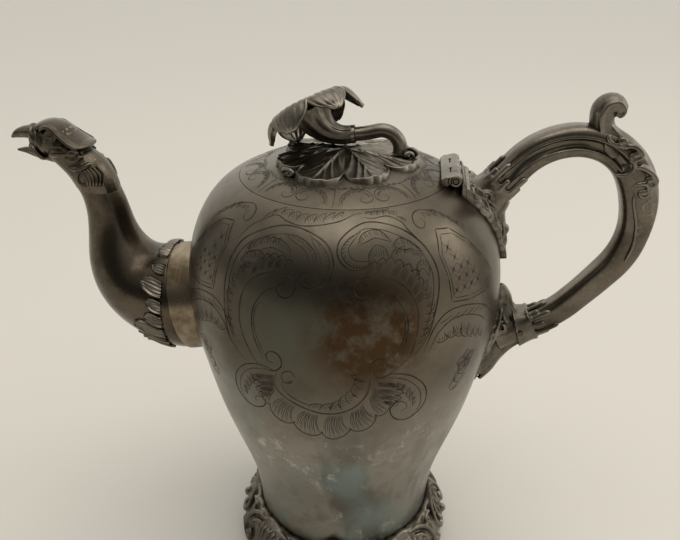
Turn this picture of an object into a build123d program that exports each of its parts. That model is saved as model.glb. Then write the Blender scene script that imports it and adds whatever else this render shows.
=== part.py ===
"""Victorian electroplated coffee pot: baluster body, bird-head spout, C-scroll handle, hinged lid."""

import os

from build123d import *

# Frame: +Z up, +X from the pot's axis towards the handle, -X towards the spout, Y across.
# The origin is the centre of the foot's underside. Every size is in millimetres.

# Body: a raised sheet wall, given by its outside radius at each height up to the lid seam.
BODY_PROFILE = [
    (43.5, 16), (46.5, 45), (53, 68), (60, 90), (65.2, 112), (69.3, 134), (69.8, 156), (64.6, 178), (45.1, 198),
]
BODY_TOP_SLOPE = (-0.872, 0.489)
BODY_WALL = 1.2
SOLDER_GAP = 0.06
BODY_BOTTOM = 16
BASE_THICKNESS = 1.2

# The mouth is cut to a cone, so that the lid lifts out of it without rubbing.
MOUTH_CONE = [(0, 196.5), (44.3, 196.5), (44.45, 196.9), (45.08, 198.05), (0, 198.05)]

# Strainer pierced through the wall behind the spout.
STRAINER_HEIGHT = 134
STRAINER_HOLE = 1.7
STRAINER_PITCH = 6.2
STRAINER_RINGS = 2
HOLES_PER_RING_STEP = 6

# Foot: a cast border with crests on the four quarters and scrolls between them.
FOOT_RADIUS = 54.7
FOOT_INNER = 49.0
FOOT_TOP = 22.5
FOOT_PROFILE = [(FOOT_RADIUS, 0), (54.2, 4.5), (50.4, 10), (46.9, 16), (45.2, FOOT_TOP)]
FOOT_INSIDE = [(43.6, FOOT_TOP), (43.6, 13.5), (47.5, 6)]
CREST_COUNT = 4
CREST_ARC = 20
CREST_TOP = 27.5
SCROLL_COUNT = 8
SCROLL_CENTRE_RADIUS = 52.0
SCROLL_CENTRE_HEIGHT = 9.5
SCROLL_LEAN = 0.9
SCROLL_RADIUS = 4.2
SCROLL_WIRE = 1.7

# Lid: a flush dome with a vertical flange that drops inside the mouth bezel.
LID_RADIUS = 44.85
LID_RIM_HEIGHT = 198.14
LID_TOP = 207.2
LID_WALL = 1.1
LID_CUT = 180
LEDGE_CLEARANCE = 0.3
BEZEL_INNER = 40.8
BEZEL_OUTER = 42.0
BEZEL_BOTTOM = 190
LEDGE_HEIGHT = 196.8
LEDGE_THICKNESS = 2
FLANGE_OUTER = 39.8
FLANGE_WALL = 1.1
FLANGE_BOTTOM = 191

# Hinge: the pin lies across the pot at the handle side of the seam.
PIN_X = 46.6
PIN_Z = 200.4
PIN_RADIUS = 0.95
PIN_CLEARANCE = 0.05
KNUCKLE_RADIUS = 2.2
KNUCKLE_CLEARANCE = 0.35
HINGE_HALF_WIDTH = 15.3
LID_KNUCKLES = [(-15.3, -9.3), (-3.0, 3.0), (9.3, 15.3)]
BODY_KNUCKLES = [(-9.1, -3.2), (3.2, 9.1)]
ROOM_FOR_LID_KNUCKLES = [(-20, -9.2), (-3.1, 3.1), (9.2, 20)]
ROOM_FOR_BODY_KNUCKLES = [(-9.25, -3.05), (3.05, 9.25)]
BODY_LEAF_CENTRE = 47.2
BODY_LEAF_WIDTH = 5.2
BODY_WEB = [(46.6, 195), (46.6, 200.4), (48.8, 200.4), (49.4, 194)]
LID_LEAF_CENTRE = 41.4
LID_LEAF_WIDTH = 6.0
LID_WEB = [(41, 198), (41, 202.2), (46.6, 202.6), (46.6, 200.4), (45.1, 199)]
LID_TO_LEAF = 0.36
UNDER_LID_TOP = 199.0
UNDER_LID_WIDTH = 10
UNDER_LID_CENTRE = 40.3
LEAF_THICKNESS = 1.5
RIB_X = 51.6
RIB_Z = 195.4
RIB_RADIUS = 1.4

# Spout: a drum collar, then a swan neck given by centre, radius and heading of each section.
COLLAR_CENTRE = (-66.0, 0, 134.4)
COLLAR_AXIS = (-0.986, 0, -0.166)
COLLAR_RADIUS = 25.6
COLLAR_LENGTH = 9.4
COLLAR_WALL = 2.0
NECK_WALL = 1.5
NECK_SECTIONS = [
    (-75.36, 132.9, 24.8, 189.6),
    (-81.5, 133.6, 24.5, 175),
    (-89.5, 136.7, 23.2, 158),
    (-98.6, 142.0, 20.4, 138),
    (-104.6, 149.6, 16.8, 116),
    (-107.6, 159.0, 13.2, 102),
    (-108.8, 170.5, 10.2, 96),
    (-110.2, 181.0, 9.0, 100),
    (-113.4, 191.0, 9.2, 114),
]
BORDER_RADII = (26.6, 27.6)
BORDER_LENGTH = 4.0
BORDER_THICKNESS = 1.4
HEAD_HALF_WIDTH = 9.2
HEAD_PROFILE = [
    (-104.5, 190.5), (-105.8, 198.0), (-112.2, 205.8), (-121.2, 211.0), (-128.3, 216.0),
    (-138.7, 213.8), (-146.0, 211.4), (-149.4, 207.7),
]
UPPER_BILL_UNDERSIDE = [(-141.6, 207.6), (-136.0, 203.6)]
THROAT = [(-131.5, 197.5), (-124.6, 190.0), (-122.0, 187.0)]
HEAD_PLAN = [(-100, 9.2), (-124, 9.0), (-133, 6.6), (-142, 3.6), (-149.4, 1.6)]
LOWER_BILL_PROFILE = [
    (-132.5, 203.0), (-139.7, 205.4), (-144.6, 204.4), (-148.1, 202.6), (-142.6, 200.7), (-131.9, 197.4),
]
LOWER_BILL_HALF_WIDTH = 3.4
PASSAGE_RADIUS = 4.6
PASSAGE_BEND = (-124, 0, 200)
PASSAGE_HEADING = (-0.85, 0, 0.35)
PASSAGE_LENGTH = 12

# Handle: a hollow cast C-scroll, its centre line made of tangent arcs.
HANDLE_START = (61.0, 190.0)
HANDLE_STRAIGHT_END = (73.0, 204.2)
HANDLE_ARC_ENDS = [
    (94.0, 214.9), (118.0, 201.5), (123.4, 182.0), (116.4, 158.5), (101.6, 140.4), (79.5, 126.6),
]
GRIP_DEPTH = 13.2
GRIP_WIDTH = 13.0
GRIP_ROUND = 3.6
GRIP_WALL = 1.6
FERRULE_DEPTH = 17.0
FERRULE_WIDTH = 16.5
FERRULE_REACH = 6.0
LEAF_RELIEF = 3.0
UPPER_LEAF = [(-9, 193), (-12.5, 184), (-6.5, 171), (0, 160.5), (6.5, 171), (12.5, 184), (9, 193)]
LOWER_LEAF = [(0, 96), (-4.5, 106), (-10, 120), (-8, 138), (0, 146), (8, 138), (10, 120), (4.5, 106)]
THUMB_SCROLL = [
    (99.4, 219.5), (98.0, 226.6), (99.2, 231.6), (103.6, 234.2), (108.6, 231.6), (110.2, 227.8),
    (107.3, 225.4), (112.8, 219.5),
]
THUMB_SCROLL_WIDTH = 9.0
ORNAMENT_OUTER = [(112.8, 219.5), (126.2, 206.5), (132.1, 184.0), (127.6, 161.0)]
ORNAMENT_WIDTH = 11.0
HANDLE_PIN_RADIUS = 1.2

# Finial: a leaf bed on the lid, a curved stem and a tilted trumpet flower.
BED_CENTRE = (-1, -2)
BED_LOBES = 7
BED_LOBE_RADIUS = 11.5
BED_LOBE_REACH = 20.5
BED_THICKNESS = 2.0
STEM_RADIUS = 3.0
STEM_FOOT = (23.3, 205.5)
STEM_TOP = (13.5, 216.0)
STEM_END = (4.2, 214.4)
STEM_RING_RADIUS = 3.9
STEM_RING_LENGTH = 1.4
TUBE_MIDDLE = (-3.0, 0, 214.2)
TUBE_HEADING = (-0.93, 0.02, 0.36)
TUBE_RADIUS = 4.8
FLOWER_THROAT = (-12.6, -0.5, 220.0)
FLOWER_AXIS = (-0.47, 0.30, 0.83)
FLOWER_PROFILE = [(7.6, -0.5), (9.6, 3.6), (13.6, 7.0), (17.8, 6.0), (19.4, 1.6)]
PETAL_THICKNESS = 1.5
STUD_RADIUS = 1.9
STUD_BOTTOM = 199.5
NUT_ACROSS_FLATS = 8.0
NUT_HEIGHT = 3.0
WASHER_RADIUS = 6.0
WASHER_THICKNESS = 0.8
WASHER_GAP = 0.35


def moved_line(line, outset, count=12):
    """Points along a line in the profile plane, each moved outset to the line's right-hand side."""
    points = []
    for step in range(count + 1):
        along = line % (step / count)
        points.append(line @ (step / count) + Vector(along.Y, -along.X) * outset)
    return points


def turned_solid(line, outset, floor):
    """The solid of revolution inside a profile line that ends at or near the axis or the mouth."""
    points = moved_line(line, outset)
    first, last = points[0], points[-1]
    with BuildPart() as solid:
        with BuildSketch(Plane.XZ):
            with BuildLine():
                Spline(*points)
                if last.X > 0.0001:
                    Line(last, (0, last.Y))
                Line((0, last.Y), (0, floor))
                Line((0, floor), (first.X, floor))
                if abs(first.Y - floor) > 0.0001:
                    Line((first.X, floor), first)
            make_face()
        revolve(axis=Axis.Z)
    return solid.part


def heading_plane(x, z, heading):
    """A plane across the pot's XZ plane whose normal points along the heading, in degrees."""
    direction = Vector(1, 0, 0).rotate(Axis.Y, -heading)
    return Plane(origin=(x, 0, z), x_dir=(0, 1, 0), z_dir=direction)


body_line = Spline(*BODY_PROFILE, tangents=[(0.05, 1), BODY_TOP_SLOPE])
lid_line = Spline((LID_RADIUS, LID_RIM_HEIGHT), (26, 204.4), (0, LID_TOP), tangents=[BODY_TOP_SLOPE, (-1, 0)])

body_solid = turned_solid(body_line, 0, BODY_BOTTOM)
body_seat = turned_solid(body_line, SOLDER_GAP, BODY_BOTTOM)
body_relief = turned_solid(body_line, LEAF_RELIEF, BODY_BOTTOM)
lid_solid = turned_solid(lid_line, 0, LID_CUT)
lid_seat = turned_solid(lid_line, SOLDER_GAP, LID_CUT)
lid_inside = turned_solid(lid_line, -LID_WALL, LID_CUT)
lid_bed = turned_solid(lid_line, BED_THICKNESS, LID_CUT)
bed_seat = turned_solid(lid_line, BED_THICKNESS + SOLDER_GAP, LID_CUT)

# Body: the wall is open at the mouth and at the bottom, where the base disc closes it.
body_inside = turned_solid(body_line, -BODY_WALL, BODY_BOTTOM)

with BuildPart() as body_shell:
    add(body_solid)
    add(body_inside, mode=Mode.SUBTRACT)
    with BuildSketch(Plane.XZ):
        with BuildLine():
            Polyline(*MOUTH_CONE, close=True)
        make_face()
    revolve(axis=Axis.Z, mode=Mode.SUBTRACT)
    with BuildSketch(Plane.XY.offset(BODY_BOTTOM)):
        Circle(BODY_PROFILE[0][0] - BODY_WALL)
    extrude(amount=2, mode=Mode.SUBTRACT)
    with BuildSketch(Plane(origin=(-60, 0, STRAINER_HEIGHT), z_dir=(-1, 0, 0))):
        Circle(STRAINER_HOLE)
        for ring in range(1, STRAINER_RINGS + 1):
            with PolarLocations(ring * STRAINER_PITCH, HOLES_PER_RING_STEP * ring):
                Circle(STRAINER_HOLE)
    extrude(amount=20, mode=Mode.SUBTRACT)

with BuildPart() as body_base:
    with BuildSketch(Plane.XY.offset(BODY_BOTTOM - BASE_THICKNESS)):
        Circle(BODY_PROFILE[0][0])
    extrude(amount=BASE_THICKNESS)

with BuildPart() as mouth_bezel:
    with BuildSketch(Plane.XZ):
        with BuildLine():
            Polyline(
                (BEZEL_INNER, BEZEL_BOTTOM), (BEZEL_OUTER, BEZEL_BOTTOM),
                (BEZEL_OUTER, LEDGE_HEIGHT - LEDGE_THICKNESS), (LID_RADIUS, LEDGE_HEIGHT - LEDGE_THICKNESS),
                (LID_RADIUS, LEDGE_HEIGHT), (BEZEL_INNER, LEDGE_HEIGHT), close=True,
            )
        make_face()
    revolve(axis=Axis.Z)
    add(body_shell.part, mode=Mode.SUBTRACT)

# Foot.
with BuildPart() as foot_ring:
    with BuildSketch(Plane.XZ):
        with BuildLine():
            outer = Spline(*FOOT_PROFILE)
            Polyline(outer @ 1, *FOOT_INSIDE, (FOOT_INNER, 0), outer @ 0)
        make_face()
    revolve(axis=Axis.Z)
    add(body_seat, mode=Mode.SUBTRACT)

foot_crests = []
for number in range(CREST_COUNT):
    start_angle = number * 360 / CREST_COUNT - CREST_ARC / 2
    with BuildPart() as crest:
        with BuildSketch(Plane.XZ.rotated((0, 0, start_angle))):
            with BuildLine():
                front = Spline((53.4, 8), (51.8, 14), (48.6, 20), (47.2, CREST_TOP))
                Polyline(front @ 1, (45.6, CREST_TOP), (45.4, 15), (50.5, 8), front @ 0)
            make_face()
        revolve(axis=Axis.Z, revolution_arc=CREST_ARC)
        add(foot_ring.part, mode=Mode.SUBTRACT)
        add(body_seat, mode=Mode.SUBTRACT)
    foot_crests.append(crest)

foot_scrolls = []
for number in range(SCROLL_COUNT):
    scroll_angle = (number + 0.5) * 360 / SCROLL_COUNT
    outward = Vector(1, 0, 0).rotate(Axis.Z, scroll_angle)
    scroll_centre = outward * SCROLL_CENTRE_RADIUS + Vector(0, 0, SCROLL_CENTRE_HEIGHT)
    with BuildPart() as scroll:
        with Locations(Plane(origin=scroll_centre, z_dir=outward + Vector(0, 0, SCROLL_LEAN))):
            Torus(SCROLL_RADIUS, SCROLL_WIRE)
        add(foot_ring.part, mode=Mode.SUBTRACT)
    foot_scrolls.append(scroll)

# Spout.
collar_plane = Plane(origin=COLLAR_CENTRE, x_dir=(0, 1, 0), z_dir=COLLAR_AXIS)

with BuildPart() as spout_collar:
    with BuildSketch(collar_plane.offset(-14)):
        Circle(COLLAR_RADIUS)
        Circle(COLLAR_RADIUS - COLLAR_WALL, mode=Mode.SUBTRACT)
    extrude(amount=14 + COLLAR_LENGTH)
    add(body_seat, mode=Mode.SUBTRACT)

with BuildPart() as spout_neck:
    for inset, combine in ((0, Mode.ADD), (NECK_WALL, Mode.SUBTRACT)):
        for x, z, radius, heading in NECK_SECTIONS:
            with BuildSketch(heading_plane(x, z, heading)):
                Circle(radius - inset)
        loft(mode=combine)

# The leaf border's root is a flared band round the neck, on the collar's face.
with BuildPart() as spout_border:
    with BuildSketch(collar_plane.offset(COLLAR_LENGTH + SOLDER_GAP)):
        Circle(BORDER_RADII[0])
    with BuildSketch(collar_plane.offset(COLLAR_LENGTH + BORDER_LENGTH)):
        Circle(BORDER_RADII[1])
    loft()
    with BuildSketch(collar_plane.offset(COLLAR_LENGTH + SOLDER_GAP)):
        Circle(BORDER_RADII[0] - BORDER_THICKNESS)
    with BuildSketch(collar_plane.offset(COLLAR_LENGTH + BORDER_LENGTH)):
        Circle(BORDER_RADII[1] - BORDER_THICKNESS)
    loft(mode=Mode.SUBTRACT)

neck_end_x, neck_end_z, neck_end_radius, neck_end_heading = NECK_SECTIONS[-1]
neck_end_plane = heading_plane(neck_end_x, neck_end_z, neck_end_heading)
passage_plane = Plane(origin=PASSAGE_BEND, x_dir=(0, 1, 0), z_dir=PASSAGE_HEADING)

with BuildPart() as spout_head:
    with BuildSketch(Plane.XZ):
        with BuildLine():
            crown = Spline(*HEAD_PROFILE)
            bill = Polyline(crown @ 1, *UPPER_BILL_UNDERSIDE)
            throat = Spline(bill @ 1, *THROAT)
            Line(throat @ 1, crown @ 0)
        make_face()
    extrude(amount=HEAD_HALF_WIDTH, both=True)
    with BuildSketch(Plane.XY.offset(180)):
        with BuildLine():
            near = Polyline(*[(x, -half) for x, half in HEAD_PLAN])
            far = Polyline(*[(x, half) for x, half in HEAD_PLAN])
            Line(near @ 0, far @ 0)
            Line(near @ 1, far @ 1)
        make_face()
    extrude(amount=50, mode=Mode.INTERSECT)
    with BuildSketch(neck_end_plane.offset(-20)):
        Rectangle(60, 60)
    extrude(amount=20, mode=Mode.SUBTRACT)
    with BuildSketch(neck_end_plane):
        Circle(neck_end_radius - NECK_WALL)
    with BuildSketch(passage_plane):
        Circle(PASSAGE_RADIUS)
    loft(mode=Mode.SUBTRACT)
    with BuildSketch(passage_plane):
        Circle(PASSAGE_RADIUS)
    extrude(amount=PASSAGE_LENGTH, mode=Mode.SUBTRACT)

with BuildPart() as spout_lower_bill:
    with BuildSketch(Plane.XZ):
        with BuildLine():
            Polyline(*LOWER_BILL_PROFILE, close=True)
        make_face()
    extrude(amount=LOWER_BILL_HALF_WIDTH, both=True)
    add(spout_head.part, mode=Mode.SUBTRACT)

# Handle.
with BuildLine(Plane.XZ) as handle_path:
    stretch = Line(HANDLE_START, HANDLE_STRAIGHT_END)
    for arc_end in HANDLE_ARC_ENDS:
        end_on_plane = Plane.XZ.from_local_coords(arc_end)
        stretch = TangentArc(stretch @ 1, end_on_plane, tangent=stretch % 1)

handle_wire = handle_path.wires()[0]
handle_start_plane = Plane(origin=handle_wire @ 0, x_dir=(0, 1, 0), z_dir=handle_wire % 0)
handle_end_plane = Plane(origin=handle_wire @ 1, x_dir=(0, 1, 0), z_dir=handle_wire % 1)

with BuildPart() as handle_solid:
    with BuildSketch(handle_start_plane):
        RectangleRounded(GRIP_WIDTH, GRIP_DEPTH, GRIP_ROUND)
    sweep(path=handle_wire)

with BuildPart() as handle_grip:
    add(handle_solid.part)
    with BuildSketch(handle_start_plane):
        RectangleRounded(GRIP_WIDTH - 2 * GRIP_WALL, GRIP_DEPTH - 2 * GRIP_WALL, GRIP_ROUND - GRIP_WALL)
    sweep(path=handle_wire, mode=Mode.SUBTRACT)

with BuildPart() as handle_upper_socket:
    with BuildSketch(Plane.YZ.offset(40)):
        with BuildLine():
            Polyline(*UPPER_LEAF, close=True)
        make_face()
    extrude(amount=40)
    add(body_relief, mode=Mode.INTERSECT)
    with BuildSketch(handle_start_plane.offset(FERRULE_REACH)):
        RectangleRounded(FERRULE_WIDTH, FERRULE_DEPTH, GRIP_ROUND + 1)
    extrude(amount=-16)
    add(body_seat, mode=Mode.SUBTRACT)
    add(handle_solid.part, mode=Mode.SUBTRACT)

with BuildPart() as handle_lower_socket:
    with BuildSketch(Plane.YZ.offset(50)):
        with BuildLine():
            Polyline(*LOWER_LEAF, close=True)
        make_face()
    extrude(amount=40)
    add(body_relief, mode=Mode.INTERSECT)
    with BuildSketch(handle_end_plane.offset(-3)):
        RectangleRounded(FERRULE_WIDTH - 1, FERRULE_DEPTH - 1, GRIP_ROUND + 1)
    with BuildSketch(handle_end_plane.offset(16)):
        RectangleRounded(FERRULE_WIDTH + 3, FERRULE_DEPTH + 8, GRIP_ROUND + 2)
    loft()
    add(body_seat, mode=Mode.SUBTRACT)
    add(handle_solid.part, mode=Mode.SUBTRACT)

handle_pins = []
for pin_plane in (handle_start_plane.offset(2.4), handle_end_plane.offset(-1.6)):
    with BuildPart() as pin:
        with BuildSketch(Plane(origin=pin_plane.origin - Vector(0, 9.2, 0), z_dir=(0, 1, 0))):
            Circle(HANDLE_PIN_RADIUS)
        extrude(amount=18.4)
    handle_pins.append(pin)
for holder in (handle_grip, handle_upper_socket, handle_lower_socket):
    for pin in handle_pins:
        with holder:
            add(pin.part, mode=Mode.SUBTRACT)

with BuildPart() as thumb_scroll:
    with BuildSketch(Plane.XZ):
        with BuildLine():
            curl = Spline(*THUMB_SCROLL)
            Polyline(curl @ 1, (106, 209), curl @ 0)
        make_face()
    extrude(amount=THUMB_SCROLL_WIDTH / 2, both=True)
    add(handle_solid.part, mode=Mode.SUBTRACT)

with BuildPart() as handle_ornament:
    with BuildSketch(Plane.XZ):
        with BuildLine():
            outer = Spline(*ORNAMENT_OUTER)
            Polyline(outer @ 1, (120, 170), (121, 190), (110, 208), outer @ 0)
        make_face()
    extrude(amount=ORNAMENT_WIDTH / 2, both=True)
    add(handle_solid.part, mode=Mode.SUBTRACT)
    add(thumb_scroll.part, mode=Mode.SUBTRACT)

# Hinge.
def barrel(bands, radius):
    """Cylinders about the hinge axis, one for each band of Y."""
    with BuildPart() as cylinders:
        for low, high in bands:
            with BuildSketch(Plane(origin=(PIN_X, low, PIN_Z), z_dir=(0, 1, 0))):
                Circle(radius)
            extrude(amount=high - low)
    return cylinders.part


def web(bands, corners):
    """Webs that join the knuckles of one leaf to its plate, cut from a side outline."""
    with BuildPart() as webs:
        for low, high in bands:
            with BuildSketch(Plane(origin=(0, low, 0), x_dir=(1, 0, 0), z_dir=(0, -1, 0))):
                with BuildLine():
                    Polyline(*corners, close=True)
                make_face()
            extrude(amount=low - high)
    return webs.part


pin_bore = barrel([(-20, 20)], PIN_RADIUS + PIN_CLEARANCE)
body_leaf_skin = turned_solid(body_line, LEAF_THICKNESS, BODY_BOTTOM)
lid_leaf_skin = turned_solid(lid_line, LEAF_THICKNESS, LID_CUT)

with BuildPart() as hinge_body_leaf:
    with BuildSketch(Plane.XY.offset(180)):
        with Locations((BODY_LEAF_CENTRE, 0)):
            Rectangle(BODY_LEAF_WIDTH, 2 * HINGE_HALF_WIDTH)
    extrude(amount=40)
    add(body_leaf_skin, mode=Mode.INTERSECT)
    add(barrel(BODY_KNUCKLES, KNUCKLE_RADIUS))
    add(web(BODY_KNUCKLES, BODY_WEB))
    add(body_seat, mode=Mode.SUBTRACT)
    add(barrel(ROOM_FOR_LID_KNUCKLES, KNUCKLE_RADIUS + KNUCKLE_CLEARANCE), mode=Mode.SUBTRACT)
    add(pin_bore, mode=Mode.SUBTRACT)
    with BuildSketch(Plane.XY.offset(LID_CUT)):
        with Locations((UNDER_LID_CENTRE, 0)):
            Rectangle(UNDER_LID_WIDTH, 80)
    extrude(amount=UNDER_LID_TOP - LID_CUT, mode=Mode.SUBTRACT)

with BuildPart() as hinge_lid_leaf:
    with BuildSketch(Plane.XY.offset(LID_RIM_HEIGHT + LID_TO_LEAF)):
        with Locations((LID_LEAF_CENTRE, 0)):
            Rectangle(LID_LEAF_WIDTH, 2 * HINGE_HALF_WIDTH)
    extrude(amount=40)
    add(lid_leaf_skin, mode=Mode.INTERSECT)
    add(barrel(LID_KNUCKLES, KNUCKLE_RADIUS))
    add(web(LID_KNUCKLES, LID_WEB))
    add(lid_seat, mode=Mode.SUBTRACT)
    add(barrel(ROOM_FOR_BODY_KNUCKLES, KNUCKLE_RADIUS + KNUCKLE_CLEARANCE), mode=Mode.SUBTRACT)
    add(pin_bore, mode=Mode.SUBTRACT)

with BuildPart() as hinge_pin:
    add(barrel([(-HINGE_HALF_WIDTH, HINGE_HALF_WIDTH)], PIN_RADIUS))

with BuildPart() as hinge_rib:
    with BuildSketch(Plane(origin=(RIB_X, -HINGE_HALF_WIDTH, RIB_Z), z_dir=(0, 1, 0))):
        Circle(RIB_RADIUS)
    extrude(amount=2 * HINGE_HALF_WIDTH)
    add(body_seat, mode=Mode.SUBTRACT)
    add(hinge_body_leaf.part, mode=Mode.SUBTRACT)

# Lid and finial.
with BuildPart() as finial_stud:
    with BuildSketch(Plane.XY.offset(STUD_BOTTOM)):
        Circle(STUD_RADIUS)
    extrude(amount=LID_TOP - STUD_BOTTOM - SOLDER_GAP)

with BuildPart() as lid_dome:
    add(lid_solid)
    add(lid_inside, mode=Mode.SUBTRACT)
    with BuildSketch(Plane.XY.offset(180)):
        Circle(60)
    extrude(amount=LEDGE_HEIGHT + LEDGE_CLEARANCE - LID_CUT, mode=Mode.SUBTRACT)
    with BuildSketch(Plane.XZ):
        with BuildLine():
            Polyline((44.2, 197.0), (LID_RADIUS - 0.02, LID_RIM_HEIGHT), (48, LID_RIM_HEIGHT), (48, 197.0), close=True)
        make_face()
    revolve(axis=Axis.Z, mode=Mode.SUBTRACT)
    add(finial_stud.part, mode=Mode.SUBTRACT)

with BuildPart() as lid_flange:
    with BuildSketch(Plane.XY.offset(FLANGE_BOTTOM)):
        Circle(FLANGE_OUTER)
        Circle(FLANGE_OUTER - FLANGE_WALL, mode=Mode.SUBTRACT)
    extrude(amount=14)
    add(lid_inside, mode=Mode.INTERSECT)

with BuildPart() as finial_leaf_bed:
    with BuildSketch(Plane.XY.offset(180)):
        with Locations(BED_CENTRE):
            Circle(BED_LOBE_REACH)
            with PolarLocations(BED_LOBE_REACH, BED_LOBES):
                Circle(BED_LOBE_RADIUS)
    extrude(amount=60)
    add(lid_bed, mode=Mode.INTERSECT)
    add(lid_seat, mode=Mode.SUBTRACT)

with BuildPart() as finial_stem:
    with BuildLine(Plane.XZ) as stem_path:
        foot = Line(STEM_FOOT, (STEM_FOOT[0], STEM_FOOT[1] + 3))
        rise = TangentArc(foot @ 1, Plane.XZ.from_local_coords(STEM_TOP), tangent=foot % 1)
        run = TangentArc(rise @ 1, Plane.XZ.from_local_coords(STEM_END), tangent=rise % 1)
    with BuildSketch(Plane(origin=foot @ 0, z_dir=(0, 0, 1))):
        Circle(STEM_RADIUS)
    sweep(path=stem_path.wires()[0])
    add(bed_seat, mode=Mode.SUBTRACT)

ring_plane = Plane(origin=run @ 1, x_dir=(0, 1, 0), z_dir=run % 1)

with BuildPart() as finial_stem_ring:
    with BuildSketch(ring_plane):
        Circle(STEM_RING_RADIUS)
    extrude(amount=STEM_RING_LENGTH)

flower_plane = Plane(origin=FLOWER_THROAT, x_dir=(0, 1, 0), z_dir=FLOWER_AXIS)
tube_plane = Plane(origin=TUBE_MIDDLE, x_dir=(0, 1, 0), z_dir=TUBE_HEADING)

with BuildPart() as finial_calyx:
    with BuildSketch(ring_plane.offset(STEM_RING_LENGTH)):
        Circle(STEM_RADIUS + 0.4)
    with BuildSketch(tube_plane):
        Circle(TUBE_RADIUS)
    with BuildSketch(flower_plane):
        Circle(FLOWER_PROFILE[0][0] - 0.2)
    loft()
    add(bed_seat, mode=Mode.SUBTRACT)

flower_side = Vector(0.83, 0, 0.47).normalized()
flower_axis = Vector(*FLOWER_AXIS).normalized()

with BuildPart() as finial_flower:
    with BuildSketch(Plane(origin=FLOWER_THROAT, x_dir=flower_side, z_dir=flower_side.cross(flower_axis))):
        with BuildLine():
            face = Spline(*FLOWER_PROFILE)
            back = Spline(*moved_line(face, PETAL_THICKNESS))
            Line(face @ 0, back @ 0)
            Line(face @ 1, back @ 1)
        make_face()
    revolve(axis=Axis(FLOWER_THROAT, FLOWER_AXIS))
    add(finial_calyx.part, mode=Mode.SUBTRACT)

nut_top = LID_TOP - LID_WALL - WASHER_GAP - WASHER_THICKNESS
with BuildPart() as finial_washer:
    with BuildSketch(Plane.XY.offset(nut_top)):
        Circle(WASHER_RADIUS)
        Circle(STUD_RADIUS, mode=Mode.SUBTRACT)
    extrude(amount=WASHER_THICKNESS)

with BuildPart() as finial_nut:
    with BuildSketch(Plane.XY.offset(nut_top - NUT_HEIGHT)):
        RegularPolygon(NUT_ACROSS_FLATS / 2, 6, major_radius=False)
        Circle(STUD_RADIUS, mode=Mode.SUBTRACT)
    extrude(amount=NUT_HEIGHT)

pieces = {
    "body_shell": body_shell,
    "body_base": body_base,
    "mouth_bezel": mouth_bezel,
    "foot_ring": foot_ring,
    "spout_collar": spout_collar,
    "spout_border": spout_border,
    "spout_neck": spout_neck,
    "spout_head": spout_head,
    "spout_lower_bill": spout_lower_bill,
    "handle_grip": handle_grip,
    "handle_upper_socket": handle_upper_socket,
    "handle_lower_socket": handle_lower_socket,
    "handle_pin_upper": handle_pins[0],
    "handle_pin_lower": handle_pins[1],
    "thumb_scroll": thumb_scroll,
    "handle_ornament": handle_ornament,
    "hinge_body_leaf": hinge_body_leaf,
    "hinge_lid_leaf": hinge_lid_leaf,
    "hinge_pin": hinge_pin,
    "hinge_rib": hinge_rib,
    "lid_dome": lid_dome,
    "lid_flange": lid_flange,
    "finial_leaf_bed": finial_leaf_bed,
    "finial_stem": finial_stem,
    "finial_stem_ring": finial_stem_ring,
    "finial_calyx": finial_calyx,
    "finial_flower": finial_flower,
    "finial_stud": finial_stud,
    "finial_washer": finial_washer,
    "finial_nut": finial_nut,
}
for number, crest in enumerate(foot_crests, start=1):
    pieces[f"foot_crest_{number}"] = crest
for number, scroll in enumerate(foot_scrolls, start=1):
    pieces[f"foot_scroll_{number}"] = scroll

os.makedirs("parts", exist_ok=True)
for name, piece in pieces.items():
    piece.part.label = name
    export_step(piece.part, f"parts/{name}.step")
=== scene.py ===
import math

import bpy
import numpy as np
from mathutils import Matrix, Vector


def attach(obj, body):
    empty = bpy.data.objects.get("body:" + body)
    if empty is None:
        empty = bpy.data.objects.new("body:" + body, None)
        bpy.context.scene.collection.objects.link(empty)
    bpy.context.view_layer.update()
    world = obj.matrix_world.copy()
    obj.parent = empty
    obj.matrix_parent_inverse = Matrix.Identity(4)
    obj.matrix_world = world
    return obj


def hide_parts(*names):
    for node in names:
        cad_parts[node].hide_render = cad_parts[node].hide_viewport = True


# The silver coffee pot's looks. Sizes are in millimetres, and mesh_piece turns them into metres.
# The pot's axis is Z, its spout is at -X, its handle at +X, and the engraved front is at -Y.
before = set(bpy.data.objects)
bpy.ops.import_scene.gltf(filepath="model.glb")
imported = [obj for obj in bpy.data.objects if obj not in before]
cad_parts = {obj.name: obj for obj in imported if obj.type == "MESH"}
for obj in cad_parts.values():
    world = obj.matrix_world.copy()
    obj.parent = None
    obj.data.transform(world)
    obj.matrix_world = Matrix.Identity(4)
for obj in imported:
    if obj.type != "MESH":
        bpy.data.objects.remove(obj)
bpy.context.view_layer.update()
MM = 0.001
FINE_VOXEL, SOCKET_VOXEL, FOOT_VOXEL = 0.36, 0.42, 0.5


# ---------------------------------------------------------------- mesh helpers

def mesh_piece(name, mesh, material, body="pot", replaces=(), smooth=True):
    """An object from (verts in millimetres, faces), riding on a CAD body and standing for some CAD nodes."""
    verts, faces = mesh
    data = bpy.data.meshes.new(name)
    data.from_pydata((np.asarray(verts, float) * MM).tolist(), [], faces)
    data.validate()
    data.polygons.foreach_set("use_smooth", [smooth] * len(data.polygons))
    data.materials.append(material)
    piece = bpy.data.objects.new(name, data)
    bpy.context.scene.collection.objects.link(piece)
    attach(piece, body)
    if replaces:
        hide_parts(*replaces)
    return piece


def join_meshes(parts):
    """One vertex array and one face list from several (verts, faces) pairs."""
    verts, faces, start = [], [], 0
    for part_verts, part_faces in parts:
        verts.append(np.asarray(part_verts, float))
        faces += [tuple(index + start for index in face) for face in part_faces]
        start += len(part_verts)
    return np.concatenate(verts), faces


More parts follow.
